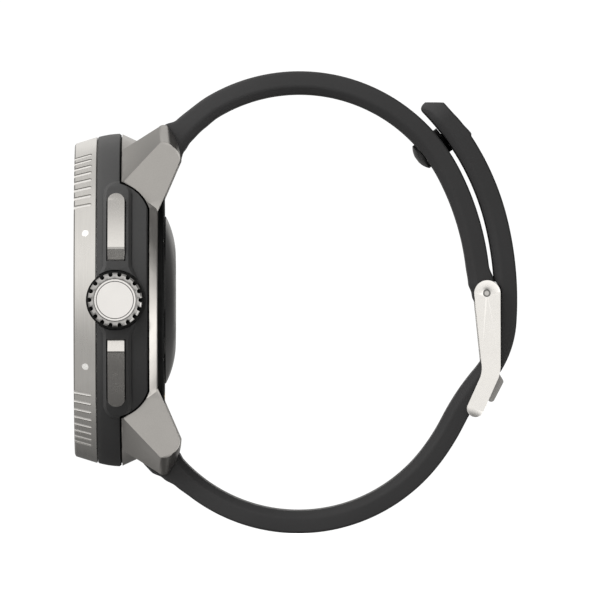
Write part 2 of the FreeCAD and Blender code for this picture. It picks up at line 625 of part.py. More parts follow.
def strap_hole(distance):
    """Rounded slot through the long strap at a distance along its centre line."""
    x, z, heading = chain_place(LONG_START, LONG_HEADING, LONG_ARCS, distance)
    half_y, half_x = HOLE_WIDE / 2, HOLE_LONG / 2
    slot = box(-half_x, half_x, -(half_y - half_x), half_y - half_x, -3, 3)
    for y in (-(half_y - half_x), half_y - half_x):
        slot = slot.fuse(Part.makeCylinder(half_x, 6, V(0, y, -3)))
    slot.rotate(ORIGIN, Y_AXIS, -heading)
    slot.translate(V(x, 0, z))
    return slot


def find_stud_distance():
    """Distance along the long strap at which the stud's axis crosses it."""
    direction = (math.cos(math.radians(STUD_ANGLE)), math.sin(math.radians(STUD_ANGLE)))
    best = (1e9, 0.0)
    steps = 600
    for k in range(steps + 1):
        s = LONG_CENTRE_LENGTH * (0.6 + 0.4 * k / steps)
        x, z, heading = chain_place(LONG_START, LONG_HEADING, LONG_ARCS, s)
        across = abs((x - STUD_FOOT[0]) * direction[1] - (z - STUD_FOOT[1]) * direction[0])
        best = min(best, (across, s))
    return best[1]


def make_long_strap():
    """Strap half with the tail and the holes, and the mark that the tongue presses into it."""
    body = band(LONG_START, LONG_HEADING, LONG_ARCS)
    body = body.fuse(flipped(strap_end(), Z_AXIS)).common(plan_trim())
    body = body.cut(rod_y(BAR_R + 0.06, -20, 20, BAR_X, -BAR_Z))
    body = body.cut(rod_y(KNUCKLE_R + 0.12, -20, 20, PIN_X, PIN_Z))
    stud_at = find_stud_distance()
    pitch = (stud_at - TONGUE_AT) / HOLES_BETWEEN
    for k in range(HOLE_COUNT):
        body = body.cut(strap_hole(stud_at - pitch * k))
    body = body.cut(bent_strip(TONGUE_PATH, TONGUE_T + 0.24, TONGUE_W + 0.4))
    save("strap_long", body.removeSplitter())


ARM_T = 1.6
ARM_GAP = STRAP_W_BUCKLE / 2 + 0.35
END_BAR_X, END_BAR_Z, END_BAR_R = 45.2, -15.1, 0.6
TONGUE_T, TONGUE_W = 1.0, 2.4
TONGUE_PATH = [(45.35, 0.3), (45.3, -4.5), (45.4, -8.2), (47.75, -12.0), (46.45, -14.5)]


def bent_strip(points, thickness, width):
    """Flat strip bent through points in the XZ plane, with rounded bends."""
    half = thickness / 2
    pieces = [rod_y(half, -width / 2, width / 2, x, z) for x, z in points]
    for (x0, z0), (x1, z1) in zip(points, points[1:]):
        length = math.hypot(x1 - x0, z1 - z0)
        run = box(0, length, -width / 2, width / 2, -half, half)
        run.rotate(ORIGIN, Y_AXIS, -math.degrees(math.atan2(z1 - z0, x1 - x0)))
        run.translate(V(x0, 0, z0))
        pieces.append(run)
    return pieces[0].fuse(pieces[1:])


def make_buckle():
    """Frame of two cranked arms joined by an end bar, its pin, and the tongue."""
    arm = plate((PIN_X - 1.85, PIN_Z), [((PIN_X, PIN_Z + 1.9), (PIN_X + 2.0, PIN_Z)), (47.72, -9.4),
                                        ((47.62, -10.7), (47.15, -12.0)), (45.25, -16.25),
                                        ((43.75, -17.15), (42.82, -15.6)), (44.75, -11.3),
                                        ((44.95, -10.3), (44.9, -9.2)), (PIN_X - 1.85, PIN_Z)],
                -ARM_GAP - ARM_T, -ARM_GAP)
    end_bar = rod_y(END_BAR_R, -ARM_GAP - 0.5, ARM_GAP + 0.5, END_BAR_X, END_BAR_Z)
    frame = arm.fuse([flipped(arm, Y_AXIS), end_bar])
    frame = frame.cut(rod_y(0.54, -20, 20, PIN_X, PIN_Z))
    save("buckle_frame", frame.removeSplitter())
    reach = ARM_GAP + ARM_T + 0.08
    save("buckle_pin", rod_y(0.5, -reach, reach, PIN_X, PIN_Z))
    eye = rod_y(1.15, -TONGUE_W / 2, TONGUE_W / 2, PIN_X, PIN_Z)
    tongue = eye.fuse(bent_strip(TONGUE_PATH, TONGUE_T, TONGUE_W)).cut(rod_y(0.56, -5, 5, PIN_X, PIN_Z))
    save("buckle_tongue", tongue.removeSplitter())


# ---- spring bars ---------------------------------------------------------------------------------
def make_spring_bar(name, z):
    tube = tube_y(0.6, BAR_R, -10.4, 10.4, BAR_X, z)
    save(f"{name}_bar_tube", tube)
    tip = rod_y(0.45, -12.6, -8.2, BAR_X, z).fuse(rod_y(0.55, -10.0, -8.2, BAR_X, z))
    save(f"{name}_bar_tip_near", tip)
    save(f"{name}_bar_tip_far", flipped(tip, Y_AXIS))
    save(f"{name}_bar_spring", coil_y(0.4, 0.12, -8.2, 8.2, 14, BAR_X, z))


make_bezel()
make_bezel_trim()
make_front_stack()
make_lug_frame(make_mid_case())
make_electronics()
make_back()
make_crown()
make_button("upper", 1)
make_button("lower", -1)
make_spring_bar("upper", BAR_Z)
make_spring_bar("lower", -BAR_Z)
make_short_strap()
make_stud()
make_long_strap()
make_buckle()
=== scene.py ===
import json
import math

import bmesh
import bpy
from mathutils import Matrix, Vector


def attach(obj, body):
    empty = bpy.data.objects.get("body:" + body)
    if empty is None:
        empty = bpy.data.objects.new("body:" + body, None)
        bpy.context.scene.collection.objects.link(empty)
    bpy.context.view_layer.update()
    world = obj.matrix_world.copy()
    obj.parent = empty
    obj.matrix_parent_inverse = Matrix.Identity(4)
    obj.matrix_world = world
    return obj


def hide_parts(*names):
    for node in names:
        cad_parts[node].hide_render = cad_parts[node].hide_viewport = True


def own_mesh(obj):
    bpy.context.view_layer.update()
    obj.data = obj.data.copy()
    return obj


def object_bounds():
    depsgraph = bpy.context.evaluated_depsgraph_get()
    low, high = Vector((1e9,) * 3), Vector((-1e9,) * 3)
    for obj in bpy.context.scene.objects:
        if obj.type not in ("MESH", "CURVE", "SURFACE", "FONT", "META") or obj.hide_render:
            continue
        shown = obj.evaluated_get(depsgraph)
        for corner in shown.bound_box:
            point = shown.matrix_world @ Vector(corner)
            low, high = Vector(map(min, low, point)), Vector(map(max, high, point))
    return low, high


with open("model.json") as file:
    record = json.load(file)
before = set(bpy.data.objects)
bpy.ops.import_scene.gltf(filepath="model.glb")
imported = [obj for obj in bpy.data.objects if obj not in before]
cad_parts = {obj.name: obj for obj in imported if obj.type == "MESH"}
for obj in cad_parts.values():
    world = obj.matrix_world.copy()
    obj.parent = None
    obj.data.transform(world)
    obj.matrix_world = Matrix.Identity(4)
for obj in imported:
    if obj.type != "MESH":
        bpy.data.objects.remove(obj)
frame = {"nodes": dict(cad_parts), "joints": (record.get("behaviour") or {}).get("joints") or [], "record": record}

# A dive watch closed on its strap.  Metres, in the CAD frame: X is the dial axis and points from the dial to
# the wrist, +Z is 12 o'clock and -Y is the crown's side, which the camera looks at.
MM = 0.001
SHARP_ANGLE = math.radians(38)
WELD_DISTANCE = 0.001 * MM
TURNED_R = 23 * MM                      # radius at which an angle round the dial axis is read as a length
cad_low, cad_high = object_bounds()
middle_x = (cad_low.x + cad_high.x) / 2


# ---- sizes repeated from the CAD model ----
BAR_X, BAR_Z = -1.7 * MM, 22.0 * MM
PIN_X, PIN_Z = 45.7 * MM, 1.0 * MM
STRAP_T = 3.3 * MM
STRAP_HALF_WIDE, STRAP_HALF_SLIM = 10.98 * MM, 9.98 * MM
TAPER_FROM_X, TAPER_TO_X = 6.0 * MM, 34.0 * MM
KNUCKLE_R = 2.1 * MM
STUD_ANGLE = 37.8
BEZEL_SLOPE = math.tan(math.radians(17.5))
BEZEL_ZERO_R = 22.98 * MM + 14.85 * MM * BEZEL_SLOPE      # radius of the bezel's cone where X is 0
CROWN_X = -8.72 * MM
BUTTON_ANGLE = 25.0
GUARD_ARC = (-9.41 * MM, 11.51 * MM, 5.76 * MM)        # x, z and radius of the side guards' corners
BUTTON_CURVE_R = 25 * MM
BUTTON_EASED_FROM, BUTTON_EASE = 3.3 * MM, 0.21        # distance short of the middle, and slope from there
TONGUE_AT = 59.0 * MM
TONGUE_PATH = [(45.35, 0.3), (45.3, -4.5), (45.4, -8.2), (47.75, -12.0), (46.45, -14.5)]     # x and z in mm
HOLES_BETWEEN = 7
HOLE_COUNT = 12
HOLE_LONG, HOLE_WIDE = 2.7 * MM, 4.4 * MM
HOLE_FLARE = [(-2.2, 0.42), (-1.72, 0.24), (-1.55, 0.10), (-1.3, 0.0),
              (1.3, 0.0), (1.55, 0.10), (1.72, 0.24), (2.2, 0.42)]       # level and growth in mm
BAR_HOLE_R, PIN_HOLE_R, STUD_HOLE_R = 0.96 * MM, 0.58 * MM, 0.92 * MM
PIN_CLEARANCE = 0.12 * MM
NOTCH = [(-5, -5), (5, -5), (5, 1.6), (4, 2.35), (-4, 2.35), (-5, 1.6)]        # x and z from the pin, in mm
NOTCH_HALF = 1.75 * MM
CHANNEL_HALF_DEPTH, CHANNEL_HALF_WIDTH = 0.62, 1.4     # the tongue's channel, in mm
PAST_STRAP = 15 * MM                    # half length of a cutter that passes both sides of a strap

# Strap centre lines: a start, a heading in degrees from +X towards +Z, then (radius in mm, turn) arcs.
SHORT_START, SHORT_HEADING = (0.45 * MM, 24.47 * MM), 45.7
SHORT_ARCS = [(-24.8, -108.4), (-39.75, -24.0)]
LONG_START, LONG_HEADING = (-0.18 * MM, -24.53 * MM), -47.8
LONG_ARCS = [(24.6, 101.0), (33.3, 9.7), (-34.8, -13.4), (13.6, 36.5), (48.2, 18.0), (37.5, 29.8)]
SHORT_R = abs(SHORT_ARCS[0][0]) * MM
STUD_FOOT = (SHORT_START[0] + SHORT_R * math.sin(math.radians(SHORT_HEADING))
             + (SHORT_R - STRAP_T / 2) * math.cos(math.radians(STUD_ANGLE)),
             SHORT_START[1] - SHORT_R * math.cos(math.radians(SHORT_HEADING))
             + (SHORT_R - STRAP_T / 2) * math.sin(math.radians(STUD_ANGLE)))


# ---- camera, light and floor ----
CAMERA_DISTANCE = 3.0
VIEW_PER_DEPTH = 1.358                  # width of the view, against the object's size along X
VIEW_OFFSET = 0.6 * MM
FLOOR_DROP = 46 * MM
WARM_WHITE = (1.0, 0.985, 0.96)
LEFT_TO_MIDDLE, MIDDLE_TO_RIGHT = (-0.40, -0.15), (0.15, 0.55)         # X of a direction
FILL_ACROSS = (-0.7, 0.5, 1.55, 0.12)   # X of a direction at either end, and the strengths there
BACKDROP = 1.05


def make_camera():
    """Level camera on the crown's side, with the whole object in a square view."""
    view_width = VIEW_PER_DEPTH * (cad_high.x - cad_low.x)
    data = bpy.data.cameras.new("camera")
    data.sensor_width = 36.0
    data.lens = data.sensor_width * CAMERA_DISTANCE / view_width
    data.clip_start, data.clip_end = 0.05, 20.0
    camera = bpy.data.objects.new("camera", data)
    camera.location = (middle_x + VIEW_OFFSET, -CAMERA_DISTANCE, 0.0)
    camera.rotation_euler = (math.radians(90), 0, 0)
    bpy.context.scene.collection.objects.link(camera)
    bpy.context.scene.camera = camera


def node(tree, kind, inputs=None, **settings):
    """New node: settings are its properties, inputs its sockets, each a value or another node's socket."""
    made = tree.nodes.new(kind)
    for key, value in settings.items():
        setattr(made, key, value)
    for key, value in (inputs or {}).items():
        if isinstance(value, bpy.types.NodeSocket):
            tree.links.new(value, made.inputs[key])
        else:
            made.inputs[key].default_value = value
    return made


def maths(tree, operation, first, second=0.0):
    """Result of a Math node on two numbers, each a value or a socket."""
    return node(tree, "ShaderNodeMath", {0: first, 1: second}, operation=operation).outputs[0]


def product(tree, first, second):
    return maths(tree, "MULTIPLY", first, second)


def total(tree, first, second):
    return maths(tree, "ADD", first, second)


def between(tree, value, low, high, start=0.3, end=0.7):
    """Number that goes from low to high as the value goes from start to end."""
    return node(tree, "ShaderNodeMapRange", {"Value": value, "From Min": start, "From Max": end,
                                             "To Min": low, "To Max": high}).outputs[0]


def rise(tree, value, start, end):
    """0 before start and 1 past end; the other way round where end is the lower one."""
    return between(tree, value, 0.0, 1.0, start, end)


def mixed(tree, share, first, second):
    """Colour between two, each an RGBA value or a socket."""
    return node(tree, "ShaderNodeMix", {0: share, 6: first, 7: second}, data_type="RGBA").outputs[2]


# Brightness of the studio that the metals mirror: degrees up from the camera's side, brightness.  LEFT is
# the part beyond the dial, RIGHT the part beyond the buckle.
LEFT = [(-180, 0.40), (-147, 0.40), (-127, 0.28), (-103, 0.25), (-83, 0.42), (-65, 0.50), (-36, 0.44),
        (-20, 0.52), (0, 0.76), (17, 0.91), (34, 0.95), (62, 0.86), (78, 0.86), (98, 0.68), (121, 0.68),
        (147, 0.42), (180, 0.36)]
MIDDLE = [(-180, 0.40), (-170, 0.14), (-149, 0.11), (-127, 0.09), (-90, 0.11), (-75, 0.12), (-28, 0.16),
          (-17, 0.17), (-7, 0.88), (0, 0.97), (30, 1.15), (50, 0.86), (66, 0.56), (98, 0.50), (121, 0.60),
          (140, 0.98), (170, 0.95), (180, 0.40)]
RIGHT = [(-180, 0.20), (-100, 0.80), (-59, 2.3), (-36, 2.7), (0, 1.8), (36, 0.62), (59, 0.10), (80, 0.14),
         (101, 0.42), (125, 0.44), (180, 0.20)]
# Soft light for matt surfaces, in the same terms.
FILL = [(-180, 0.16), (-110, 0.24), (-60, 0.34), (-20, 0.47), (15, 0.70), (60, 1.32), (100, 1.45),
        (150, 0.80), (180, 0.30)]


def ramp_by_angle(tree, share, stops):
    """Grey brightness from a share of the full turn."""
    ramp = node(tree, "ShaderNodeValToRGB", {0: share})
    marks = ramp.color_ramp.elements
    while len(marks) < len(stops):
        marks.new(0.5)
    for mark, (degrees, bright) in zip(marks, stops):
        mark.position = (degrees + 180) / 360
        mark.color = (*tint(WARM_WHITE, bright), 1)
    return ramp.outputs[0]


def make_world():
    """Soft studio, with a plain white background where the camera looks."""
    world = bpy.data.worlds.new("studio")
    bpy.context.scene.world = world
    world.use_nodes = True
    tree = world.node_tree
    tree.nodes.clear()
    direction = node(tree, "ShaderNodeTexCoord").outputs["Generated"]
    parts = node(tree, "ShaderNodeSeparateXYZ", {0: direction}).outputs
    turn = maths(tree, "ARCTAN2", parts["Z"], product(tree, parts["Y"], -1.0))
    share = rise(tree, turn, -math.pi, math.pi)

    def across(low, high, at_low=0.0, at_high=1.0):
        return node(tree, "ShaderNodeMapRange", {"Value": parts["X"], "From Min": low, "From Max": high,
                                                 "To Min": at_low, "To Max": at_high},
                    interpolation_type="SMOOTHSTEP").outputs[0]

    def background(colour, strength):
        return node(tree, "ShaderNodeBackground", {"Color": colour, "Strength": strength}).outputs[0]

    left_part = mixed(tree, across(*LEFT_TO_MIDDLE), ramp_by_angle(tree, share, LEFT),
                      ramp_by_angle(tree, share, MIDDLE))
    mirrored = mixed(tree, across(*MIDDLE_TO_RIGHT), left_part, ramp_by_angle(tree, share, RIGHT))
    glossy = background(mirrored, 1.0)
    fill = background(ramp_by_angle(tree, share, FILL), across(*FILL_ACROSS))
    white = background((1, 1, 1, 1), BACKDROP)
    seen = node(tree, "ShaderNodeLightPath").outputs
    lit = node(tree, "ShaderNodeMixShader", {0: seen["Is Diffuse Ray"], 1: glossy, 2: fill}).outputs[0]
    mix = node(tree, "ShaderNodeMixShader", {0: seen["Is Camera Ray"], 1: lit, 2: white}).outputs[0]
    node(tree, "ShaderNodeOutputWorld", {0: mix})


def soft_box(name, place, aim, size, power):
    """Soft light of (width, height) at a place, aimed at a point; the metals don't mirror it."""
    data = bpy.data.lights.new(name, "AREA")
    data.shape = "RECTANGLE"
    data.size, data.size_y = size
    data.energy = power
    data.color = WARM_WHITE
    lamp = bpy.data.objects.new(name, data)
    lamp.visible_glossy = False
    lamp.location = place
    lamp.rotation_euler = (Vector(aim) - Vector(place)).to_track_quat("-Z", "Y").to_euler()
    bpy.context.scene.collection.objects.link(lamp)


def make_floor():
    """Plain pale floor, low enough for the strap to open above it."""
    mesh = bpy.data.meshes.new("floor")
    bm = bmesh.new()
    bmesh.ops.create_circle(bm, cap_ends=True, segments=96, radius=4.0)
    bm.to_mesh(mesh)
    bm.free()
    floor = bpy.data.objects.new("floor", mesh)
    floor.location = (middle_x, 0, cad_low.z - FLOOR_DROP)
    bpy.context.scene.collection.objects.link(floor)
    paint = bpy.data.materials.new("floor_paint")
    paint.use_nodes = True
    shader = paint.node_tree.nodes["Principled BSDF"]
    shader.inputs["Base Color"].default_value = (0.86, 0.86, 0.86, 1)
    shader.inputs["Roughness"].default_value = 0.9
    shader.inputs["Specular IOR Level"].default_value = 0.0
    shader.inputs["Emission Color"].default_value = (1, 1, 1, 1)
    shader.inputs["Emission Strength"].default_value = 1.0
    mesh.materials.append(paint)
    floor.visible_glossy = False
    floor.visible_diffuse = False


# ---- materials ----
def start_material(name, colour, metallic=0.0, roughness=0.5, **more):
    """Material with its Principled shader set; more holds further sockets, with _ for each space."""
    paint = bpy.data.materials.new(name)
    paint.use_nodes = True
    tree = paint.node_tree
    shader = tree.nodes["Principled BSDF"]
    shader.inputs["Base Color"].default_value = (*colour, 1)
    shader.inputs["Metallic"].default_value = metallic
    shader.inputs["Roughness"].default_value = roughness
    for socket, value in more.items():
        shader.inputs[socket.replace("_", " ")].default_value = value
    return paint, tree, shader


def object_place(tree):
    return node(tree, "ShaderNodeTexCoord").outputs["Object"]


def object_axes(tree):
    """Object coordinates as sockets X, Y and Z."""
    return node(tree, "ShaderNodeSeparateXYZ", {0: object_place(tree)}).outputs


def length_of(tree, vector):
    return node(tree, "ShaderNodeVectorMath", {0: vector}, operation="LENGTH").outputs["Value"]


def from_axis(tree, x, z):
    """Distance from a line along Y."""
    moved = node(tree, "ShaderNodeVectorMath", {0: object_place(tree), 1: (x, 0, z)}, operation="SUBTRACT")
    flat = node(tree, "ShaderNodeVectorMath", {0: moved.outputs[0], 1: (1, 0, 1)}, operation="MULTIPLY")
    return length_of(tree, flat.outputs[0])


def source(shader, socket):
    """What feeds one of the shader's sockets so far."""
    return shader.inputs[socket].links[0].from_socket


def turned_place(tree):
    """Coordinates round the dial axis: along it, out from it, and round it as a length."""
    parts = object_axes(tree)
    flat = node(tree, "ShaderNodeCombineXYZ", {"Y": parts["Y"], "Z": parts["Z"]})
    round_it = product(tree, maths(tree, "ARCTAN2", parts["Z"], parts["Y"]), TURNED_R)
    return node(tree, "ShaderNodeCombineXYZ", {0: parts["X"], 1: length_of(tree, flat.outputs[0]),
                                               2: round_it}).outputs[0]


def noise(tree, place, scale, detail=3.0, stretch=(1, 1, 1)):
    """Noise from 0 to 1; scale is in features per metre, and stretch lengthens them along an axis."""
    scaled = node(tree, "ShaderNodeMapping", {"Vector": place, "Scale": [scale / s for s in stretch]})
    made = node(tree, "ShaderNodeTexNoise", {"Vector": scaled.outputs[0], "Scale": 1.0, "Detail": detail})
    return made.outputs[0]


def shade(tree, value, dark, light, start=0.3, end=0.7):
    """Colour between dark and light."""
    return mixed(tree, rise(tree, value, start, end), (*dark, 1), (*light, 1))


def bump(tree, value, height, under=None):
    """Normal for a value times a height, on top of another normal if one is given."""
    sockets = {"Height": value, "Strength": 1.0, "Distance": height}
    if under is not None:
        sockets["Normal"] = under
    return node(tree, "ShaderNodeBump", sockets).outputs[0]


def tint(colour, share):
    return tuple(c * share for c in colour)


def darken(tree, colour, share):
    """Colour socket scaled by a number."""
    return node(tree, "ShaderNodeVectorMath", {0: colour, "Scale": share}, operation="SCALE").outputs[0]


def crevices(tree, reach, darkest=0.04):
    """Painted shade: 1 on open surfaces, falling to darkest deep in narrow hollows, read from ambient occlusion;
    it stands in for the shade that falls there.
    """
    open_sky = node(tree, "ShaderNodeAmbientOcclusion", {"Distance": reach}, samples=8).outputs["AO"]
    return between(tree, open_sky, darkest, 1.0, 0.36, 0.80)


def steel(name, colour, rough, place_of=object_place, stretch=(1, 1, 40), grain=9000, height=0.4e-6,
          crevice_shade_reach=0.0):
    """Brushed or blasted steel: fine lines along the long axis of stretch, soft stains and tiny scratches."""
    paint, tree, shader = start_material(name, colour, 1.0, rough)
    place = place_of(tree)
    lines = noise(tree, place, grain, 4.0, stretch)
    cloud = noise(tree, place, 260, 3.0)
    scratch = noise(tree, place, 700, 6.0, (1, 6, 1))
    base = shade(tree, lines, tint(colour, 0.95), tint(colour, 1.04))
    # Painted shade: given a reach, the colour darkens deep in narrow hollows and seams, where shade falls.
    if crevice_shade_reach:
        base = darken(tree, base, crevices(tree, crevice_shade_reach))
    tree.links.new(base, shader.inputs["Base Color"])
    worn = total(tree, between(tree, lines, -0.03, 0.03), between(tree, scratch, 0.0, 0.03, 0.62, 0.66))
    worn = total(tree, worn, between(tree, cloud, rough * 0.9, rough * 1.1))
    tree.links.new(worn, shader.inputs["Roughness"])
    tree.links.new(bump(tree, lines, height), shader.inputs["Normal"])
    return paint, tree, shader


def bezel_steel(name):
    """Turned steel; in the grip grooves a painted highlight whitens the floors and painted shade darkens the
    walls.
    """
    paint, tree, shader = steel(name, (0.80, 0.785, 0.76), 0.30, turned_place)
    parts = node(tree, "ShaderNodeSeparateXYZ", {0: turned_place(tree)}).outputs
    cone = total(tree, product(tree, parts["X"], BEZEL_SLOPE), BEZEL_ZERO_R)
    depth = maths(tree, "SUBTRACT", cone, parts["Y"])
    # Painted shade on the grooves' walls and a painted highlight on their floors, both set by depth below the
    # cone.
    painted_wall_shade = rise(tree, depth, 0.02 * MM, 0.04 * MM)
    painted_groove_highlight = rise(tree, depth, 0.13 * MM, 0.17 * MM)
    dark = mixed(tree, painted_wall_shade, source(shader, "Base Color"), (0.28, 0.275, 0.265, 1))
    white = mixed(tree, painted_groove_highlight, dark, (1.0, 0.985, 0.965, 1))
    tree.links.new(white, shader.inputs["Base Color"])
    rough = total(tree, source(shader, "Roughness"), product(tree, painted_groove_highlight, 0.12))
    tree.links.new(rough, shader.inputs["Roughness"])
    return paint


def button_steel(name):
    """Brushed steel; a bump crowns the caps' faces along the case's curve and eases their low ends."""
    paint, tree, shader = steel(name, (0.76, 0.742, 0.718), 0.24, object_place, (1, 1, 30), 9000,
                                0.15e-6, 0.25 * MM)
    parts = object_axes(tree)
    height = maths(tree, "ABSOLUTE", parts["Z"])
    slant = math.radians(BUTTON_ANGLE)
    along = total(tree, product(tree, parts["Y"], math.sin(slant)), product(tree, height, math.cos(slant)))
    past_edge = maths(tree, "MINIMUM", total(tree, along, BUTTON_EASED_FROM), 0.0)
    along = maths(tree, "MAXIMUM", along, -BUTTON_EASED_FROM)
    crown = product(tree, product(tree, along, along), -0.5 / BUTTON_CURVE_R)
    crown = total(tree, crown, product(tree, past_edge, -BUTTON_EASE))
    tree.links.new(bump(tree, crown, 1.0, source(shader, "Normal")), shader.inputs["Normal"])
    return paint


def polished(name, colour, rough=0.12):
    """Polished steel with faint hairlines and fingermarks."""
    paint, tree, shader = start_material(name, colour, 1.0, rough)
    place = object_place(tree)
    marks = noise(tree, place, 420, 5.0)
    tree.links.new(between(tree, marks, rough * 0.85, rough * 1.2), shader.inputs["Roughness"])
    hair = noise(tree, place, 14000, 2.0, (1, 30, 1))
    tree.links.new(shade(tree, hair, tint(colour, 0.97), colour), shader.inputs["Base Color"])
    tree.links.new(bump(tree, hair, 0.1e-6), shader.inputs["Normal"])
    return paint, tree, shader


def crown_steel(name):
    """Polished cap inside a duller toothed rim, with painted shade between the teeth."""
    paint, tree, shader = polished(name, (0.90, 0.885, 0.87), 0.20)
    rim = between(tree, from_axis(tree, CROWN_X, 0.0), 1.0, 0.52, 3.05 * MM, 3.12 * MM)
    # The rim is a duller steel; the hollows between the teeth get painted shade.
    dull_and_painted_shade = product(tree, rim, crevices(tree, 0.5 * MM, 0.02))
    tree.links.new(darken(tree, source(shader, "Base Color"), dull_and_painted_shade), shader.inputs["Base Color"])
    return paint


def moulded(name, colour, rough, grain=5200, height=3e-6, gloss=0.5, crevice_shade_reach=0.0):
    """Matt moulded plastic or rubber: a fine grain, slow colour change and rubbed patches."""
    paint, tree, shader = start_material(name, colour, 0.0, rough, Specular_IOR_Level=gloss)
    place = object_place(tree)
    fine = noise(tree, place, grain, 3.0)
    slow = noise(tree, place, 190, 4.0)
    tone = total(tree, between(tree, fine, -0.5, 0.5), between(tree, slow, 0.2, 0.8))
    base = shade(tree, tone, tint(colour, 0.94), tint(colour, 1.06), 0.0, 1.0)
    # Painted shade: given a reach, the colour and the gloss fall deep in narrow hollows, where shade falls.
    if crevice_shade_reach:
        open_share = crevices(tree, crevice_shade_reach)
        base = darken(tree, base, open_share)
        tree.links.new(product(tree, open_share, gloss), shader.inputs["Specular IOR Level"])
    tree.links.new(base, shader.inputs["Base Color"])
    tree.links.new(between(tree, slow, rough * 0.9, rough * 1.1), shader.inputs["Roughness"])
    tree.links.new(bump(tree, fine, height), shader.inputs["Normal"])
    return paint, tree, shader


def polymer(name):
    """Case polymer, with a painted shadow line where it meets the steel frame, and painted shade in its hollows.
    """
    paint, tree, shader = moulded(name, (0.069, 0.0695, 0.071), 0.52, 7000, 2.0e-6, 0.16, 0.4 * MM)
    parts = object_axes(tree)
    x, height = parts["X"], maths(tree, "ABSOLUTE", parts["Z"])
    arc_x, arc_z, arc_r = GUARD_ARC
    from_arc = node(tree, "ShaderNodeCombineXYZ", {0: total(tree, x, -arc_x), 1: total(tree, height, -arc_z)})
    past_arc = rise(tree, length_of(tree, from_arc.outputs[0]), arc_r - 0.12 * MM, arc_r - 0.06 * MM)
    near_lugs = rise(tree, height, 17.0 * MM, 17.1 * MM)
    at_guard = rise(tree, height, 13.3 * MM, 13.2 * MM)
    past_guard = rise(tree, height, 13.1 * MM, 13.2 * MM)
    # Painted shadow: a thin black line along the seam with the steel frame, by the lugs, at the guards' back edge
    # and round the guards' corners.
    seam_shadow_by_lugs = product(tree, near_lugs, rise(tree, x, -8.14 * MM, -8.08 * MM))
    seam_shadow_by_guard = product(tree, at_guard, rise(tree, x, -4.04 * MM, -3.98 * MM))
    seam_shadow_by_arc = product(tree, product(tree, rise(tree, x, -8.05 * MM, -7.95 * MM), past_guard), past_arc)
    edge = maths(tree, "MAXIMUM", maths(tree, "MAXIMUM", seam_shadow_by_lugs, seam_shadow_by_guard), seam_shadow_by_arc)
    clear = between(tree, edge, 1.0, 0.03, 0.0, 1.0)
    tree.links.new(darken(tree, source(shader, "Base Color"), clear), shader.inputs["Base Color"])
    gloss = product(tree, source(shader, "Specular IOR Level"), clear)
    tree.links.new(gloss, shader.inputs["Specular IOR Level"])
    return paint


def buckle_steel(name):
    """Smooth light steel; the pin's joint is grimy, and painted shade darkens the tongue in the middle and the
    narrow hollows.
    """
    paint, tree, shader = steel(name, (0.93, 0.915, 0.89), 0.26, object_place, (1, 1, 3), 8000,
                                0.06e-6, 0.15 * MM)
    width = maths(tree, "ABSOLUTE", object_axes(tree)["Y"])
    out = from_axis(tree, PIN_X, PIN_Z)
    joint = maths(tree, "MAXIMUM", between(tree, out, 0.66, 0.25, 0.30 * MM, 0.36 * MM),
                  between(tree, out, 0.25, 1.0, 0.50 * MM, 0.57 * MM))
    # Painted shade: within 2 mm of the middle, where the tongue lies in the frame's shade, the colour drops to a
    # third.
    dull_and_painted_shade = product(tree, joint, between(tree, width, 0.33, 1.0, 2.0 * MM, 2.6 * MM))
    tree.links.new(darken(tree, source(shader, "Base Color"), dull_and_painted_shade), shader.inputs["Base Color"])
    return paint


def silicone(name):
    """Matt strap silicone: silky grain and faint dust, with painted shade that darkens it from near the case
    towards the buckle.
    """
    colour = (0.0555, 0.0555, 0.0575)
    paint, tree, shader = start_material(name, colour, 0.0, 0.5, Specular_IOR_Level=0.18)
    place = object_place(tree)
    silk = noise(tree, place, 6500, 2.0)
    dust = noise(tree, place, 2600, 5.0)
    slow = noise(tree, place, 120, 3.0)
    base = shade(tree, slow, tint(colour, 0.95), tint(colour, 1.07))
    # Painted shade: the colour falls by a fifth from near the case towards the buckle.
    base = darken(tree, base, between(tree, object_axes(tree)["X"], 1.0, 0.80, 8 * MM, 44 * MM))
    speck = between(tree, dust, 0.0, 0.16, 0.66, 0.74)
    dusty = mixed(tree, speck, base, (0.10, 0.10, 0.098, 1))
    tree.links.new(dusty, shader.inputs["Base Color"])
    tree.links.new(between(tree, slow, 0.46, 0.56), shader.inputs["Roughness"])
    tree.links.new(bump(tree, silk, 2.2e-6), shader.inputs["Normal"])
    return paint


def glassy(name, colour, rough=0.04, coat=0.6):
    """Opaque polished surface with faint smears; coat is the weight of its clear coat."""
    paint, tree, shader = start_material(name, colour, 0.0, rough, Coat_Weight=coat, Coat_Roughness=0.03)
    place = object_place(tree)
    smear = noise(tree, place, 300, 5.0)
    tree.links.new(between(tree, smear, rough * 0.6, rough * 2.4), shader.inputs["Roughness"])
    tree.links.new(shade(tree, smear, tint(colour, 0.9), tint(colour, 1.12)), shader.inputs["Base Color"])
    return paint


def clear_crystal(name):
    """Sapphire crystal with an anti-reflective coating: nearly clear, with faint smears."""
    paint, tree, shader = start_material(name, (0.03, 0.032, 0.036), 0.0, 0.02, Specular_IOR_Level=0.6)
    smear = noise(tree, object_place(tree), 240, 5.0)
    tree.links.new(between(tree, smear, 0.10, 0.13), shader.inputs["Alpha"])
    return paint


def lume(name):
    """White luminous paint with a fine grain."""
    paint, tree, shader = start_material(name, (0.92, 0.92, 0.90), 0.0, 0.55, Emission_Color=(1, 1, 1, 1),
                                         Emission_Strength=0.12)
    grain = noise(tree, object_place(tree), 9000, 3.0)
    tree.links.new(shade(tree, grain, (0.86, 0.86, 0.84), (0.94, 0.94, 0.92)), shader.inputs["Base Color"])
    tree.links.new(bump(tree, grain, 2e-6), shader.inputs["Normal"])
    return paint


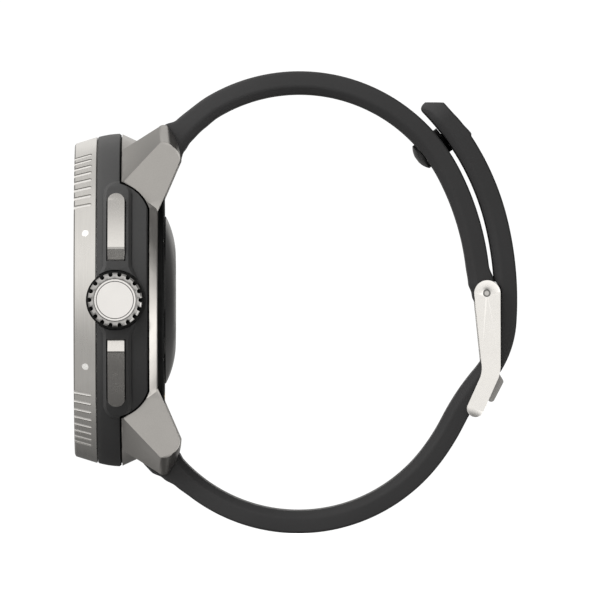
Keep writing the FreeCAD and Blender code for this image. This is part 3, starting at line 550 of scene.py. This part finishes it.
def bricks(tree, scale, colours, gap, offset=0.5):
    """Brick pattern on a face square to the dial axis, from two brick colours and a mortar colour."""
    scaled = node(tree, "ShaderNodeMapping", {"Vector": object_place(tree), "Scale": (scale, scale, scale),
                                              "Rotation": (0, math.radians(90), 0)})
    first, second, mortar = [(*colour, 1) for colour in colours]
    return node(tree, "ShaderNodeTexBrick", {"Vector": scaled.outputs[0], "Color1": first, "Color2": second,
                                             "Mortar": mortar, "Scale": 1.0, "Mortar Size": gap},
                offset=offset).outputs


def board(name):
    """Green solder mask over copper tracks."""
    green = (0.02, 0.16, 0.08)
    paint, tree, shader = start_material(name, green, 0.0, 0.3, Coat_Weight=0.3)
    tracks = bricks(tree, 700, (green, (0.02, 0.13, 0.07), (0.16, 0.36, 0.16)), 0.03)
    tree.links.new(tracks[0], shader.inputs["Base Color"])
    tree.links.new(bump(tree, tracks[1], 8e-6), shader.inputs["Normal"])
    return paint


def foil(name):
    """Crinkled battery foil."""
    paint, tree, shader = start_material(name, (0.62, 0.63, 0.63), 1.0, 0.3)
    crease = noise(tree, object_place(tree), 900, 5.0)
    tree.links.new(between(tree, crease, 0.2, 0.42), shader.inputs["Roughness"])
    tree.links.new(bump(tree, crease, 6e-5), shader.inputs["Normal"])
    return paint


def screen(name):
    """Display glass: near black, with the faint grid of its pixels."""
    paint, tree, shader = start_material(name, (0.006, 0.006, 0.008), 0.0, 0.12, Specular_IOR_Level=0.12)
    colours = ((0.008, 0.008, 0.011), (0.007, 0.008, 0.011), (0.006, 0.006, 0.007))
    cells = bricks(tree, 9000, colours, 0.05, offset=0.0)
    tree.links.new(cells[0], shader.inputs["Base Color"])
    return paint


def make_materials():
    """One material for each of the record's slots, and the stud's own, in place of the plain ones."""
    for plain in list(bpy.data.materials):
        if plain.name != "floor_paint":
            bpy.data.materials.remove(plain)
    return {
        "bezel_steel": bezel_steel("bezel_steel"),
        "bezel_insert": glassy("bezel_insert", (0.012, 0.012, 0.014), 0.10),
        "white_mark": lume("white_mark"),
        "polymer": polymer("polymer"),
        "frame_steel": steel("frame_steel", (0.465, 0.452, 0.435), 0.34, object_place, (1, 1, 1), 5200,
                             1.2e-6, 0.45 * MM)[0],
        "inner_steel": steel("inner_steel", (0.60, 0.60, 0.60), 0.32, turned_place, (1, 1, 40), 6000)[0],
        "crystal": clear_crystal("crystal"),
        "black_rubber": moulded("black_rubber", (0.020, 0.020, 0.020), 0.6)[0],
        "black_plastic": moulded("black_plastic", (0.009, 0.009, 0.009), 0.24, 6000, 0.5e-6, 0.14,
                                 0.6 * MM)[0],
        "display": screen("display"),
        "gold_contact": steel("gold_contact", (0.90, 0.66, 0.30), 0.24)[0],
        "board_green": board("board_green"),
        "chip_black": moulded("chip_black", (0.028, 0.028, 0.030), 0.45, 4000, 4e-6)[0],
        "battery_foil": foil("battery_foil"),
        "cover_black": moulded("cover_black", (0.006, 0.0065, 0.007), 0.50, 7000, 2e-6, 0.14)[0],
        "sensor_glass": glassy("sensor_glass", (0.004, 0.004, 0.005), 0.12, 0.0),
        "led": glassy("led", (0.30, 0.55, 0.28), 0.1),
        "crown_steel": crown_steel("crown_steel"),
        "spring_steel": polished("spring_steel", (0.66, 0.66, 0.66), 0.2)[0],
        "button_steel": button_steel("button_steel"),
        "bar_steel": polished("bar_steel", (0.66, 0.66, 0.66), 0.2)[0],
        "silicone": silicone("silicone"),
        "buckle_steel": buckle_steel("buckle_steel"),
        "strap_stud": moulded("strap_stud", (0.060, 0.060, 0.061), 0.28, 7000, 1e-6, 0.5, 1.6 * MM)[0],
    }


def rounded_edges(thing, width):
    """Weld the shape's faces together and round its sharp edges."""
    weld = thing.modifiers.new("weld", "WELD")
    weld.merge_threshold = WELD_DISTANCE
    bevel = thing.modifiers.new("bevel", "BEVEL")
    bevel.width = width
    bevel.segments = 2
    bevel.limit_method = "ANGLE"
    bevel.angle_limit = math.radians(32)
    bevel.use_clamp_overlap = True
    even = thing.modifiers.new("even", "WEIGHTED_NORMAL")
    even.keep_sharp = False


EDGE_WIDTHS = {"lug_frame": 0.13, "buckle_frame": 0.10, "upper_button_cap": 0.08, "lower_button_cap": 0.08,
               "crown_knob": 0.05, "mid_case": 0.10, "back_cover": 0.06}


def paint_nodes(materials):
    """Every CAD node gets its slot's material, or its own; the ones in EDGE_WIDTHS get rounded edges."""
    for entry in frame["record"]["subparts"]:
        mesh = frame["nodes"][entry["node"]].data
        mesh.materials.clear()
        mesh.materials.append(materials.get(entry["node"], materials[entry["material_slot"]]))
    for name, width in EDGE_WIDTHS.items():
        rounded_edges(frame["nodes"][name], width * MM)


# ---- straps ----
def chain_place(start, heading, arcs, distance):
    """Point (x, z) and heading in radians at a distance along tangent arcs; straight on past either end."""
    x, z = start
    angle = math.radians(heading)
    left = distance
    if distance < 0:
        return x + math.cos(angle) * distance, z + math.sin(angle) * distance, angle
    for radius_mm, turn in arcs:
        radius = radius_mm * MM
        sweep = math.radians(turn)
        length = radius * sweep
        step = min(left, length) / radius
        centre_x = x - math.sin(angle) * radius
        centre_z = z + math.cos(angle) * radius
        angle += step
        x = centre_x + math.sin(angle) * radius
        z = centre_z - math.cos(angle) * radius
        left -= length
        if left <= 0:
            return x, z, angle
    return x + math.cos(angle) * left, z + math.sin(angle) * left, angle


def chain_length(arcs):
    return sum(abs(radius) * MM * math.radians(abs(turn)) for radius, turn in arcs)


def smooth(keys, at):
    """Value at a place, eased between (place, value) keys."""
    if at <= keys[0][0]:
        return keys[0][1]
    for (a, first), (b, second) in zip(keys, keys[1:]):
        if at <= b:
            share = (at - a) / (b - a)
            share = share * share * (3 - 2 * share)
            return first + (second - first) * share
    return keys[-1][1]


def rounded_outline(corners, arc_steps, cuts):
    """Closed outline from (u, v, radius) corners: each corner is an arc, and side i has cuts[i] parts."""
    count = len(corners)
    arcs = []
    for i, (u, v, radius) in enumerate(corners):
        here = Vector((u, v))
        back = (Vector(corners[i - 1][:2]) - here).normalized()
        ahead = (Vector(corners[(i + 1) % count][:2]) - here).normalized()
        half = back.angle(ahead) / 2
        reach = radius / math.tan(half)
        centre = here + (back + ahead).normalized() * (radius / math.sin(half))
        first, last = here + back * reach - centre, here + ahead * reach - centre
        swing = first.angle_signed(last)
        turns = [-swing * k / arc_steps for k in range(arc_steps + 1)]
        arcs.append([centre + Matrix.Rotation(turn, 2) @ first for turn in turns])
    points = []
    for i, arc in enumerate(arcs):
        points += arc
        a, b = arc[-1], arcs[(i + 1) % count][0]
        points += [a.lerp(b, k / cuts[i]) for k in range(1, cuts[i])]
    return points


def strap_section(half_width, h_in, h_out):
    """Section of a strap: (toward the outer face, across) points, with a broad bevel on the wrist's side."""
    slim = min(1.0, (h_in + h_out) / STRAP_T)
    inset, bevel, lip = 0.80 * MM * slim, 1.05 * MM * slim, 0.16 * MM * slim
    face, ridge, rim = 0.28 * MM * slim, 0.9 * MM * slim, 0.42 * MM * slim
    side = [(h_out, half_width - lip, rim), (bevel - h_in, half_width, ridge),
            (-h_in, half_width - inset, face)]
    corners = side + [(u, -v, r) for u, v, r in reversed(side)]
    return rounded_outline(corners, 6, [1, 1, 22, 1, 1, 22])


def strap_width(x):
    share = min(1.0, max(0.0, (x - TAPER_FROM_X) / (TAPER_TO_X - TAPER_FROM_X)))
    return STRAP_HALF_WIDE + (STRAP_HALF_SLIM - STRAP_HALF_WIDE) * share


def sweep_strap(name, chain, stations, outer_sign, sizes):
    """Strap mesh along a chain. sizes(distance) gives how much to take off the half width, h_in and h_out."""
    bm = bmesh.new()
    rings = []
    for distance in stations:
        x, z, angle = chain_place(*chain, distance)
        less_wide, h_in, h_out = sizes(distance)
        out = Vector((-math.sin(angle), 0, math.cos(angle))) * outer_sign
        section = strap_section(strap_width(x) - less_wide, h_in, h_out)
        rings.append([Vector((x, v, z)) + out * u for u, v in section])
    stack(bm, rings)
    return finish_solids(name, bm)


def finish_mesh(name, bm):
    """Object from a bmesh, smooth except at its sharp edges."""
    mesh = bpy.data.meshes.new(name)
    bm.to_mesh(mesh)
    bm.free()
    mesh.polygons.foreach_set("use_smooth", [True] * len(mesh.polygons))
    mesh.set_sharp_from_angle(angle=SHARP_ANGLE)
    thing = bpy.data.objects.new(name, mesh)
    bpy.context.scene.collection.objects.link(thing)
    return thing


def finish_solids(name, bm):
    """Object from a bmesh of closed solids, with every face turned outward."""
    bmesh.ops.recalc_face_normals(bm, faces=bm.faces)
    return finish_mesh(name, bm)


def stack(bm, outlines):
    """Closed solid through a stack of outlines with the same number of points."""
    rings = [[bm.verts.new(p) for p in outline] for outline in outlines]
    for a, b in zip(rings, rings[1:]):
        for i in range(len(a)):
            j = (i + 1) % len(a)
            bm.faces.new((a[i], a[j], b[j], b[i]))
    bm.faces.new(rings[0])
    bm.faces.new(rings[-1])


def slot_outline(length, width, grow, steps=14):
    """Rounded slot: length along the strap is also its ends' diameter."""
    radius = length / 2 + grow
    reach = width / 2 - length / 2
    points = []
    for end in (1, -1):
        for k in range(steps + 1):
            a = math.pi * k / steps
            points.append((end * radius * math.cos(a), end * (reach + radius * math.sin(a))))
    return points


def rod(bm, radius, centre_x, centre_z, half_length, steps=64):
    """Cylinder along Y."""
    ends = []
    for y in (-half_length, half_length):
        ends.append([Vector((centre_x + radius * math.cos(2 * math.pi * k / steps), y,
                             centre_z + radius * math.sin(2 * math.pi * k / steps))) for k in range(steps)])
    stack(bm, ends)


def bent_outline(path, half):
    """Outline of a flat strip bent through points in the XZ plane, all in millimetres."""
    points = [Vector(p) for p in path]
    one_side, other_side = [], []
    for k, point in enumerate(points):
        before = (point - points[k - 1]).normalized() if k else (points[1] - point).normalized()
        after = (points[k + 1] - point).normalized() if k + 1 < len(points) else before
        along = (before + after).normalized()
        offset = Vector((-along.y, along.x)) * half / along.dot(before)
        if k == 0 or k + 1 == len(points):
            point = point + along * (half if k else -half)
        one_side.append((point + offset) * MM)
        other_side.append((point - offset) * MM)
    return one_side + other_side[::-1]


def cut(thing, bm):
    """Take a closed shape away from a piece."""
    tool = finish_solids("cutter", bm)
    step = thing.modifiers.new("cut", "BOOLEAN")
    step.operation = "DIFFERENCE"
    step.solver = "EXACT"
    step.object = tool
    graph = bpy.context.evaluated_depsgraph_get()
    mesh = bpy.data.meshes.new_from_object(thing.evaluated_get(graph))
    thing.modifiers.clear()
    thing.data = mesh
    mesh.set_sharp_from_angle(angle=SHARP_ANGLE)
    bpy.data.objects.remove(tool)


def spread(first, last, gap):
    count = max(2, round((last - first) / gap))
    return [first + (last - first) * k / count for k in range(count + 1)]


def round_start(centre, radius, count=14):
    """Places from a round end's tip to its centre, close together at the tip."""
    return [centre - radius * math.cos(math.pi / 2 * k / count) for k in range(count)]


def round_finish(centre, radius, count=14):
    """Places from a round end's centre to its tip."""
    return [centre + radius * math.sin(math.pi / 2 * k / count) for k in range(count + 1)]


LUG_END_AT = -3.2 * MM                  # the spring bar's place along a strap's centre line
LUG_END_R = 3.1 * MM
# How far each strap's outer and inner faces stand from its centre line: (distance along, height) in mm.
SHORT_OUT = [(-3.2, 3.0), (-0.55, 2.30), (1.05, 1.60), (3.4, 1.55), (6.5, 1.65)]
SHORT_IN = [(-3.2, 3.1), (-1.2, 2.30), (0.4, 2.02), (3.4, 1.85), (6.5, 1.65)]
LONG_OUT = [(-3.2, 3.0), (-1.75, 2.98), (0.1, 2.32), (2.1, 1.80), (4.4, 1.65)]
LONG_IN = [(-3.2, 3.1), (-1.2, 1.90), (0.2, 1.65)]
SHORT_CHAIN = (SHORT_START, SHORT_HEADING, SHORT_ARCS)
LONG_CHAIN = (LONG_START, LONG_HEADING, LONG_ARCS)
SHORT_LENGTH, LONG_LENGTH = chain_length(SHORT_ARCS), chain_length(LONG_ARCS)


def lug_end(distance, out_keys, in_keys):
    """h_in and h_out near the spring bar."""
    short_of = LUG_END_AT - distance
    if short_of > 0:
        round_off = math.sqrt(max(0.0, LUG_END_R ** 2 - short_of ** 2))
        share = max(0.05, round_off / LUG_END_R)
        return in_keys[0][1] * MM * share, out_keys[0][1] * MM * share
    return smooth(in_keys, distance / MM) * MM, smooth(out_keys, distance / MM) * MM


def pin_from_strap():
    """The buckle's pin from the short strap's end: distance along it, and out from its centre line."""
    end_x, end_z, heading = chain_place(*SHORT_CHAIN, SHORT_LENGTH)
    along = (PIN_X - end_x) * math.cos(heading) + (PIN_Z - end_z) * math.sin(heading)
    out = -(PIN_X - end_x) * math.sin(heading) + (PIN_Z - end_z) * math.cos(heading)
    return along, out


def cut_short_strap(thing):
    """Holes for the spring bar, the buckle's pin and the stud, and a notch for the tongue."""
    bm = bmesh.new()
    rod(bm, BAR_HOLE_R, BAR_X, BAR_Z, PAST_STRAP)
    rod(bm, PIN_HOLE_R, PIN_X, PIN_Z, PAST_STRAP, 40)
    stack(bm, [[Vector((PIN_X + u * MM, y, PIN_Z + v * MM)) for u, v in NOTCH]
               for y in (-NOTCH_HALF, NOTCH_HALF)])
    foot = Matrix.Translation((STUD_FOOT[0], 0, STUD_FOOT[1]))
    post = foot @ Matrix.Rotation(-math.radians(STUD_ANGLE), 4, "Y")
    turns = [2 * math.pi * k / 40 for k in range(40)]
    stack(bm, [[post @ Vector((u, STUD_HOLE_R * math.cos(a), STUD_HOLE_R * math.sin(a))) for a in turns]
               for u in (-2 * MM, STRAP_T + 2 * MM)])
    cut(thing, bm)


def make_short_strap(material):
    """Buckle half of the strap, from the upper spring bar to the buckle's pin."""
    length = SHORT_LENGTH
    pin_along, pin_out = pin_from_strap()
    pin_at = length + pin_along
    radius = KNUCKLE_R - 0.02 * MM
    top = (pin_out + radius) / MM
    out_keys = [(-3.9, 1.65), (-1.9, 2.15), (-0.7, top * 0.97), (0.0, top)]
    in_keys = [(-4.2, 1.65), (-1.6, 1.50), (0.0, (radius - pin_out) / MM)]

    def sizes(distance):
        past = distance - pin_at
        if past > 0:
            reach = max(math.sqrt(max(0.0, radius ** 2 - past ** 2)), 0.1 * MM)
            return 0.0, reach - pin_out, reach + pin_out
        if distance > length / 2:
            return 0.0, smooth(in_keys, past / MM) * MM, smooth(out_keys, past / MM) * MM
        return (0.0, *lug_end(distance, SHORT_OUT, SHORT_IN))

    stations = round_start(LUG_END_AT, LUG_END_R)
    stations += spread(LUG_END_AT, 6 * MM, 0.35 * MM)[:-1]
    stations += spread(6 * MM, pin_at - 6 * MM, 0.55 * MM)[:-1]
    stations += spread(pin_at - 6 * MM, pin_at, 0.3 * MM)[:-1]
    stations += round_finish(pin_at, radius)
    thing = sweep_strap("strap_short_skin", SHORT_CHAIN, stations, 1, sizes)
    cut_short_strap(thing)
    dress(thing, material, "short_strap", "strap_short")


def stud_crossing():
    """Distance along the long strap at which the stud's axis crosses it."""
    direction = (math.cos(math.radians(STUD_ANGLE)), math.sin(math.radians(STUD_ANGLE)))
    best = (1.0, 0.0)
    for k in range(601):
        at = LONG_LENGTH * (0.6 + 0.4 * k / 600)
        x, z, angle = chain_place(*LONG_CHAIN, at)
        off = abs((x - STUD_FOOT[0]) * direction[1] - (z - STUD_FOOT[1]) * direction[0])
        best = min(best, (off, at))
    return best[1]


def punch_holes(bm):
    """Slots through the long strap, flared at both faces, evenly spaced from the stud's."""
    stud_at = stud_crossing()
    pitch = (stud_at - TONGUE_AT) / HOLES_BETWEEN
    for k in range(HOLE_COUNT):
        x, z, angle = chain_place(*LONG_CHAIN, stud_at - pitch * k)
        along = Vector((math.cos(angle), 0, math.sin(angle)))
        out = Vector((-math.sin(angle), 0, math.cos(angle)))
        outlines = []
        for level, grow in HOLE_FLARE:
            base = Vector((x, 0, z)) + out * level * MM
            outlines.append([base + along * u + Vector((0, v, 0))
                             for u, v in slot_outline(HOLE_LONG, HOLE_WIDE, grow * MM)])
        stack(bm, outlines)


def cut_long_strap(thing):
    """Room for the spring bar and the buckle's knuckle, the holes, and the channel the tongue presses."""
    bm = bmesh.new()
    rod(bm, BAR_HOLE_R, BAR_X, -BAR_Z, PAST_STRAP)
    rod(bm, KNUCKLE_R + PIN_CLEARANCE, PIN_X, PIN_Z, PAST_STRAP, 96)
    cut(thing, bm)

    bm = bmesh.new()
    punch_holes(bm)
    cut(thing, bm)

    bm = bmesh.new()
    channel = bent_outline(TONGUE_PATH, CHANNEL_HALF_DEPTH)
    stack(bm, [[Vector((p.x, y * MM, p.y)) for p in channel]
               for y in (-CHANNEL_HALF_WIDTH, CHANNEL_HALF_WIDTH)])
    cut(thing, bm)


def make_long_strap(material):
    """Tail half of the strap, with its holes, a bevelled tip and rounded corners."""
    length = LONG_LENGTH
    tip_at = length + 1.15 * MM
    corner = 4.0 * MM
    pad_at = length - 6.9 * MM
    out_keys = [(pad_at / MM, 1.62), (pad_at / MM + 0.35, 1.82), (length / MM - 4.6, 1.60),
                (length / MM - 2.0, 1.45)]
    slope_from = tip_at - 1.9 * MM
    tip_out = -0.5 * MM
    tip_r = 0.75 * MM

    def sizes(distance):
        if distance < length / 2:
            return (0.0, *lug_end(distance, LONG_OUT, LONG_IN))
        less = 0.0
        if distance > tip_at - corner:
            into = distance - (tip_at - corner)
            less = corner - math.sqrt(max(0.0, corner ** 2 - into ** 2))
        h_out = smooth(out_keys, distance / MM) * MM
        if distance > slope_from:
            h_out += (tip_out - h_out) * (distance - slope_from) / (tip_at - slope_from)
        h_in = 1.65 * MM
        if distance > tip_at - tip_r:
            into = distance - (tip_at - tip_r)
            h_in -= tip_r - math.sqrt(max(0.0, tip_r ** 2 - into ** 2))
        return less * 0.9, h_in, h_out

    stations = round_start(LUG_END_AT, LUG_END_R)
    stations += spread(LUG_END_AT, 6 * MM, 0.35 * MM)[:-1]
    stations += spread(6 * MM, pad_at - 0.2 * MM, 0.55 * MM)[:-1]
    stations += spread(pad_at - 0.2 * MM, pad_at + 0.6 * MM, 0.1 * MM)[:-1]
    stations += spread(pad_at + 0.6 * MM, tip_at - corner, 0.3 * MM)[:-1]
    stations += round_finish(tip_at - corner, corner, 26)
    thing = sweep_strap("strap_long_skin", LONG_CHAIN, stations, -1, sizes)
    cut_long_strap(thing)
    dress(thing, material, "long_strap", "strap_long")


def dress(thing, material, body, *nodes):
    """Give a piece its material and its place in the assembly."""
    thing.data.materials.clear()
    thing.data.materials.append(material)
    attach(thing, body)
    if nodes:
        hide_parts(*nodes)


# ---- dial, bezel scale and sensor marks ----
DIAL_X = -12.80 * MM                    # face of the display
INSERT_X, INSERT_LEAN = -14.203 * MM, -0.0267      # the bezel insert's face: X at the axis, and per metre out
NUMBER_X = -14.775 * MM                 # the insert's face at its numbers
LENS_BACK, LENS_FRONT, RING_FRONT = -0.06 * MM, 0.012 * MM, 0.008 * MM


def clock_axes(degrees):
    """Directions away from the dial's centre and clockwise, at an angle from 12 o'clock."""
    a = math.radians(degrees)
    return Vector((0, -math.sin(a), math.cos(a))), Vector((0, -math.cos(a), -math.sin(a)))


def clock_plate(bm, degrees, points, back, front, lean=0.0):
    """Thin plate through (away from the centre, clockwise) points in mm; lean follows a coned face."""
    away, clockwise = clock_axes(degrees)
    flat = [away * u * MM + clockwise * v * MM for u, v in points]
    stack(bm, [[Vector((x + lean * p.length, p.y, p.z)) for p in flat] for x in (back, front)])


def on_display(bm, degrees, points, thickness=0.03):
    """Thin plate on the display's face; its thickness is in mm."""
    clock_plate(bm, degrees, points, DIAL_X, DIAL_X - thickness * MM)


def bar_points(near, far, half_near, half_far):
    return [(near, half_near), (far, half_far), (far, -half_far), (near, -half_near)]


def arc_points(radius_in, radius_out, first, last, steps):
    """Part of a ring about its own centre, as (u, v) points."""
    turns = [math.radians(first + (last - first) * k / steps) for k in range(steps + 1)]
    outer = [(radius_out * math.cos(t), radius_out * math.sin(t)) for t in turns]
    return outer + [(radius_in * math.cos(t), radius_in * math.sin(t)) for t in reversed(turns)]


def put_number(bm, words, size, degrees, distance, x, upright):
    """Flat number on a face that looks along -X, upright or with its top away from the centre."""
    curve = bpy.data.curves.new("number", "FONT")
    curve.body = words
    curve.size = size
    curve.extrude = 0.02 * MM
    curve.align_x, curve.align_y = "CENTER", "CENTER"
    thing = bpy.data.objects.new("number", curve)
    bpy.context.scene.collection.objects.link(thing)
    graph = bpy.context.evaluated_depsgraph_get()
    mesh = bpy.data.meshes.new_from_object(thing.evaluated_get(graph))
    up, right = clock_axes(0 if upright else degrees)
    turn = Matrix((right, up, Vector((-1, 0, 0)))).transposed().to_4x4()
    place = clock_axes(degrees)[0] * distance + Vector((x, 0, 0))
    mesh.transform(Matrix.Translation(place) @ turn)
    bm.from_mesh(mesh)
    bpy.data.objects.remove(thing)
    bpy.data.curves.remove(curve)
    bpy.data.meshes.remove(mesh)


def make_bezel_scale(material):
    """Printed minute marks and numbers on the turning bezel's insert."""
    bm = bmesh.new()
    for minute in range(1, 60):
        if minute % 10 == 5:
            mark = bar_points(20.1, 22.2, 0.30, 0.30)
        elif minute % 5 == 0:
            mark = bar_points(21.8, 22.2, 0.30, 0.30)
        else:
            mark = bar_points(21.6, 22.2, 0.10, 0.10)
        clock_plate(bm, 6 * minute, mark, INSERT_X + 0.03 * MM, INSERT_X - 0.012 * MM, INSERT_LEAN)
    for minute in range(10, 60, 10):
        put_number(bm, str(minute), 2.0 * MM, 6 * minute, 20.7 * MM, NUMBER_X, False)
    dress(finish_solids("bezel_scale", bm), material, "bezel")


def make_dial(materials):
    """What the display shows: minute track, hour numbers, three activity arcs and hands at ten past ten."""
    bm = bmesh.new()
    for minute in range(60):
        mark = bar_points(13.7, 15.4, 0.26, 0.26) if minute % 5 == 0 else bar_points(14.8, 15.4, 0.09, 0.09)
        on_display(bm, 6 * minute, mark)
    for hour in (12, 3, 6, 9):
        put_number(bm, str(hour), 3.8 * MM, 30 * hour, 11.3 * MM, DIAL_X - 0.02 * MM, True)
    dress(finish_solids("dial_marks", bm), materials["white_mark"], "case")

    bm = bmesh.new()
    for ring, share in enumerate((0.82, 0.6, 0.7)):
        inner = 3.1 - 0.7 * ring
        arc = arc_points(inner, inner + 0.42, 0, 360 * share, 48)
        on_display(bm, 0, [(u - 6.2, v) for u, v in arc])
    on_display(bm, 0, arc_points(0.0, 0.62, 0, 359, 24)[:25], 0.16)
    on_display(bm, 222, bar_points(-2.6, 13.4, 0.12, 0.07), 0.14)
    dress(finish_solids("dial_accents", bm), materials["led"], "case")

    bm = bmesh.new()
    on_display(bm, 305, [(-1.6, 0.5), (6.6, 0.75), (7.8, 0.0), (6.6, -0.75), (-1.6, -0.5)], 0.08)
    on_display(bm, 60, [(-1.9, 0.4), (11.6, 0.55), (13.0, 0.0), (11.6, -0.55), (-1.9, -0.4)], 0.11)
    dress(finish_solids("dial_hands", bm), materials["white_mark"], "case")


def make_sensor_marks(materials):
    """Round lenses and thin dividing rings on the flat part of the sensor's dome."""
    bm = bmesh.new()
    for k in range(6):
        lens = arc_points(0.0, 0.85, 0, 345, 23)[:24]
        clock_plate(bm, 60 * k, [(u + 4.7, v) for u, v in lens], LENS_BACK, LENS_FRONT)
    clock_plate(bm, 0, bar_points(-1.0, 1.0, 1.0, 1.0), LENS_BACK, LENS_FRONT)
    dress(finish_solids("sensor_lenses", bm), materials["led"], "case")

    bm = bmesh.new()
    for radius in (2.6, 5.85):
        for half in (0, 180):
            arc = arc_points(radius - 0.07, radius + 0.07, half, half + 180, 48)
            clock_plate(bm, 0, arc, LENS_BACK, RING_FRONT)
    dress(finish_solids("sensor_rings", bm), materials["inner_steel"], "case")


def make_springs(material):
    """Coil for each spring, named after the joint that presses it; a spring bar's coil has one half for each tip.
    """
    joints = {joint["name"]: joint for joint in frame["joints"]}
    rows = [("crown_spring", "crown_push", False), ("upper_button_spring", "upper_button_push", False),
            ("lower_button_spring", "lower_button_push", False)]
    for bar in ("upper", "lower"):
        rows += [(bar + "_bar_spring", f"{bar}_{tip}_tip_slide", True) for tip in ("near", "far")]
    for name, joint, is_half in rows:
        axis = Vector(joints[joint]["axis"])
        bm = bmesh.new()
        bm.from_mesh(frame["nodes"][name].data)
        bmesh.ops.remove_doubles(bm, verts=bm.verts, dist=WELD_DISTANCE)
        if is_half:
            bmesh.ops.bisect_plane(bm, geom=bm.verts[:] + bm.edges[:] + bm.faces[:], plane_co=(0, 0, 0),
                                   plane_no=axis, clear_outer=True)
            bmesh.ops.holes_fill(bm, edges=[edge for edge in bm.edges if edge.is_boundary])
        thing = finish_mesh(joint.replace("_push", "").replace("_slide", "") + "_coil", bm)
        dress(thing, material, "case", name)
        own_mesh(thing)


make_camera()
make_world()
make_floor()
soft_box("strip", (-0.1, -1.0, 0.78), (0.01, 0, 0), (0.7, 0.24), 1.3)
soft_box("upper_left", (-0.10, -0.13, 0.10), (-0.01, 0, 0), (0.12, 0.12), 0.10)
materials = make_materials()
paint_nodes(materials)
make_short_strap(materials["silicone"])
make_long_strap(materials["silicone"])
make_bezel_scale(materials["white_mark"])
make_dial(materials)
make_sensor_marks(materials)
make_springs(materials["spring_steel"])
bpy.context.scene.view_settings.view_transform = "Standard"
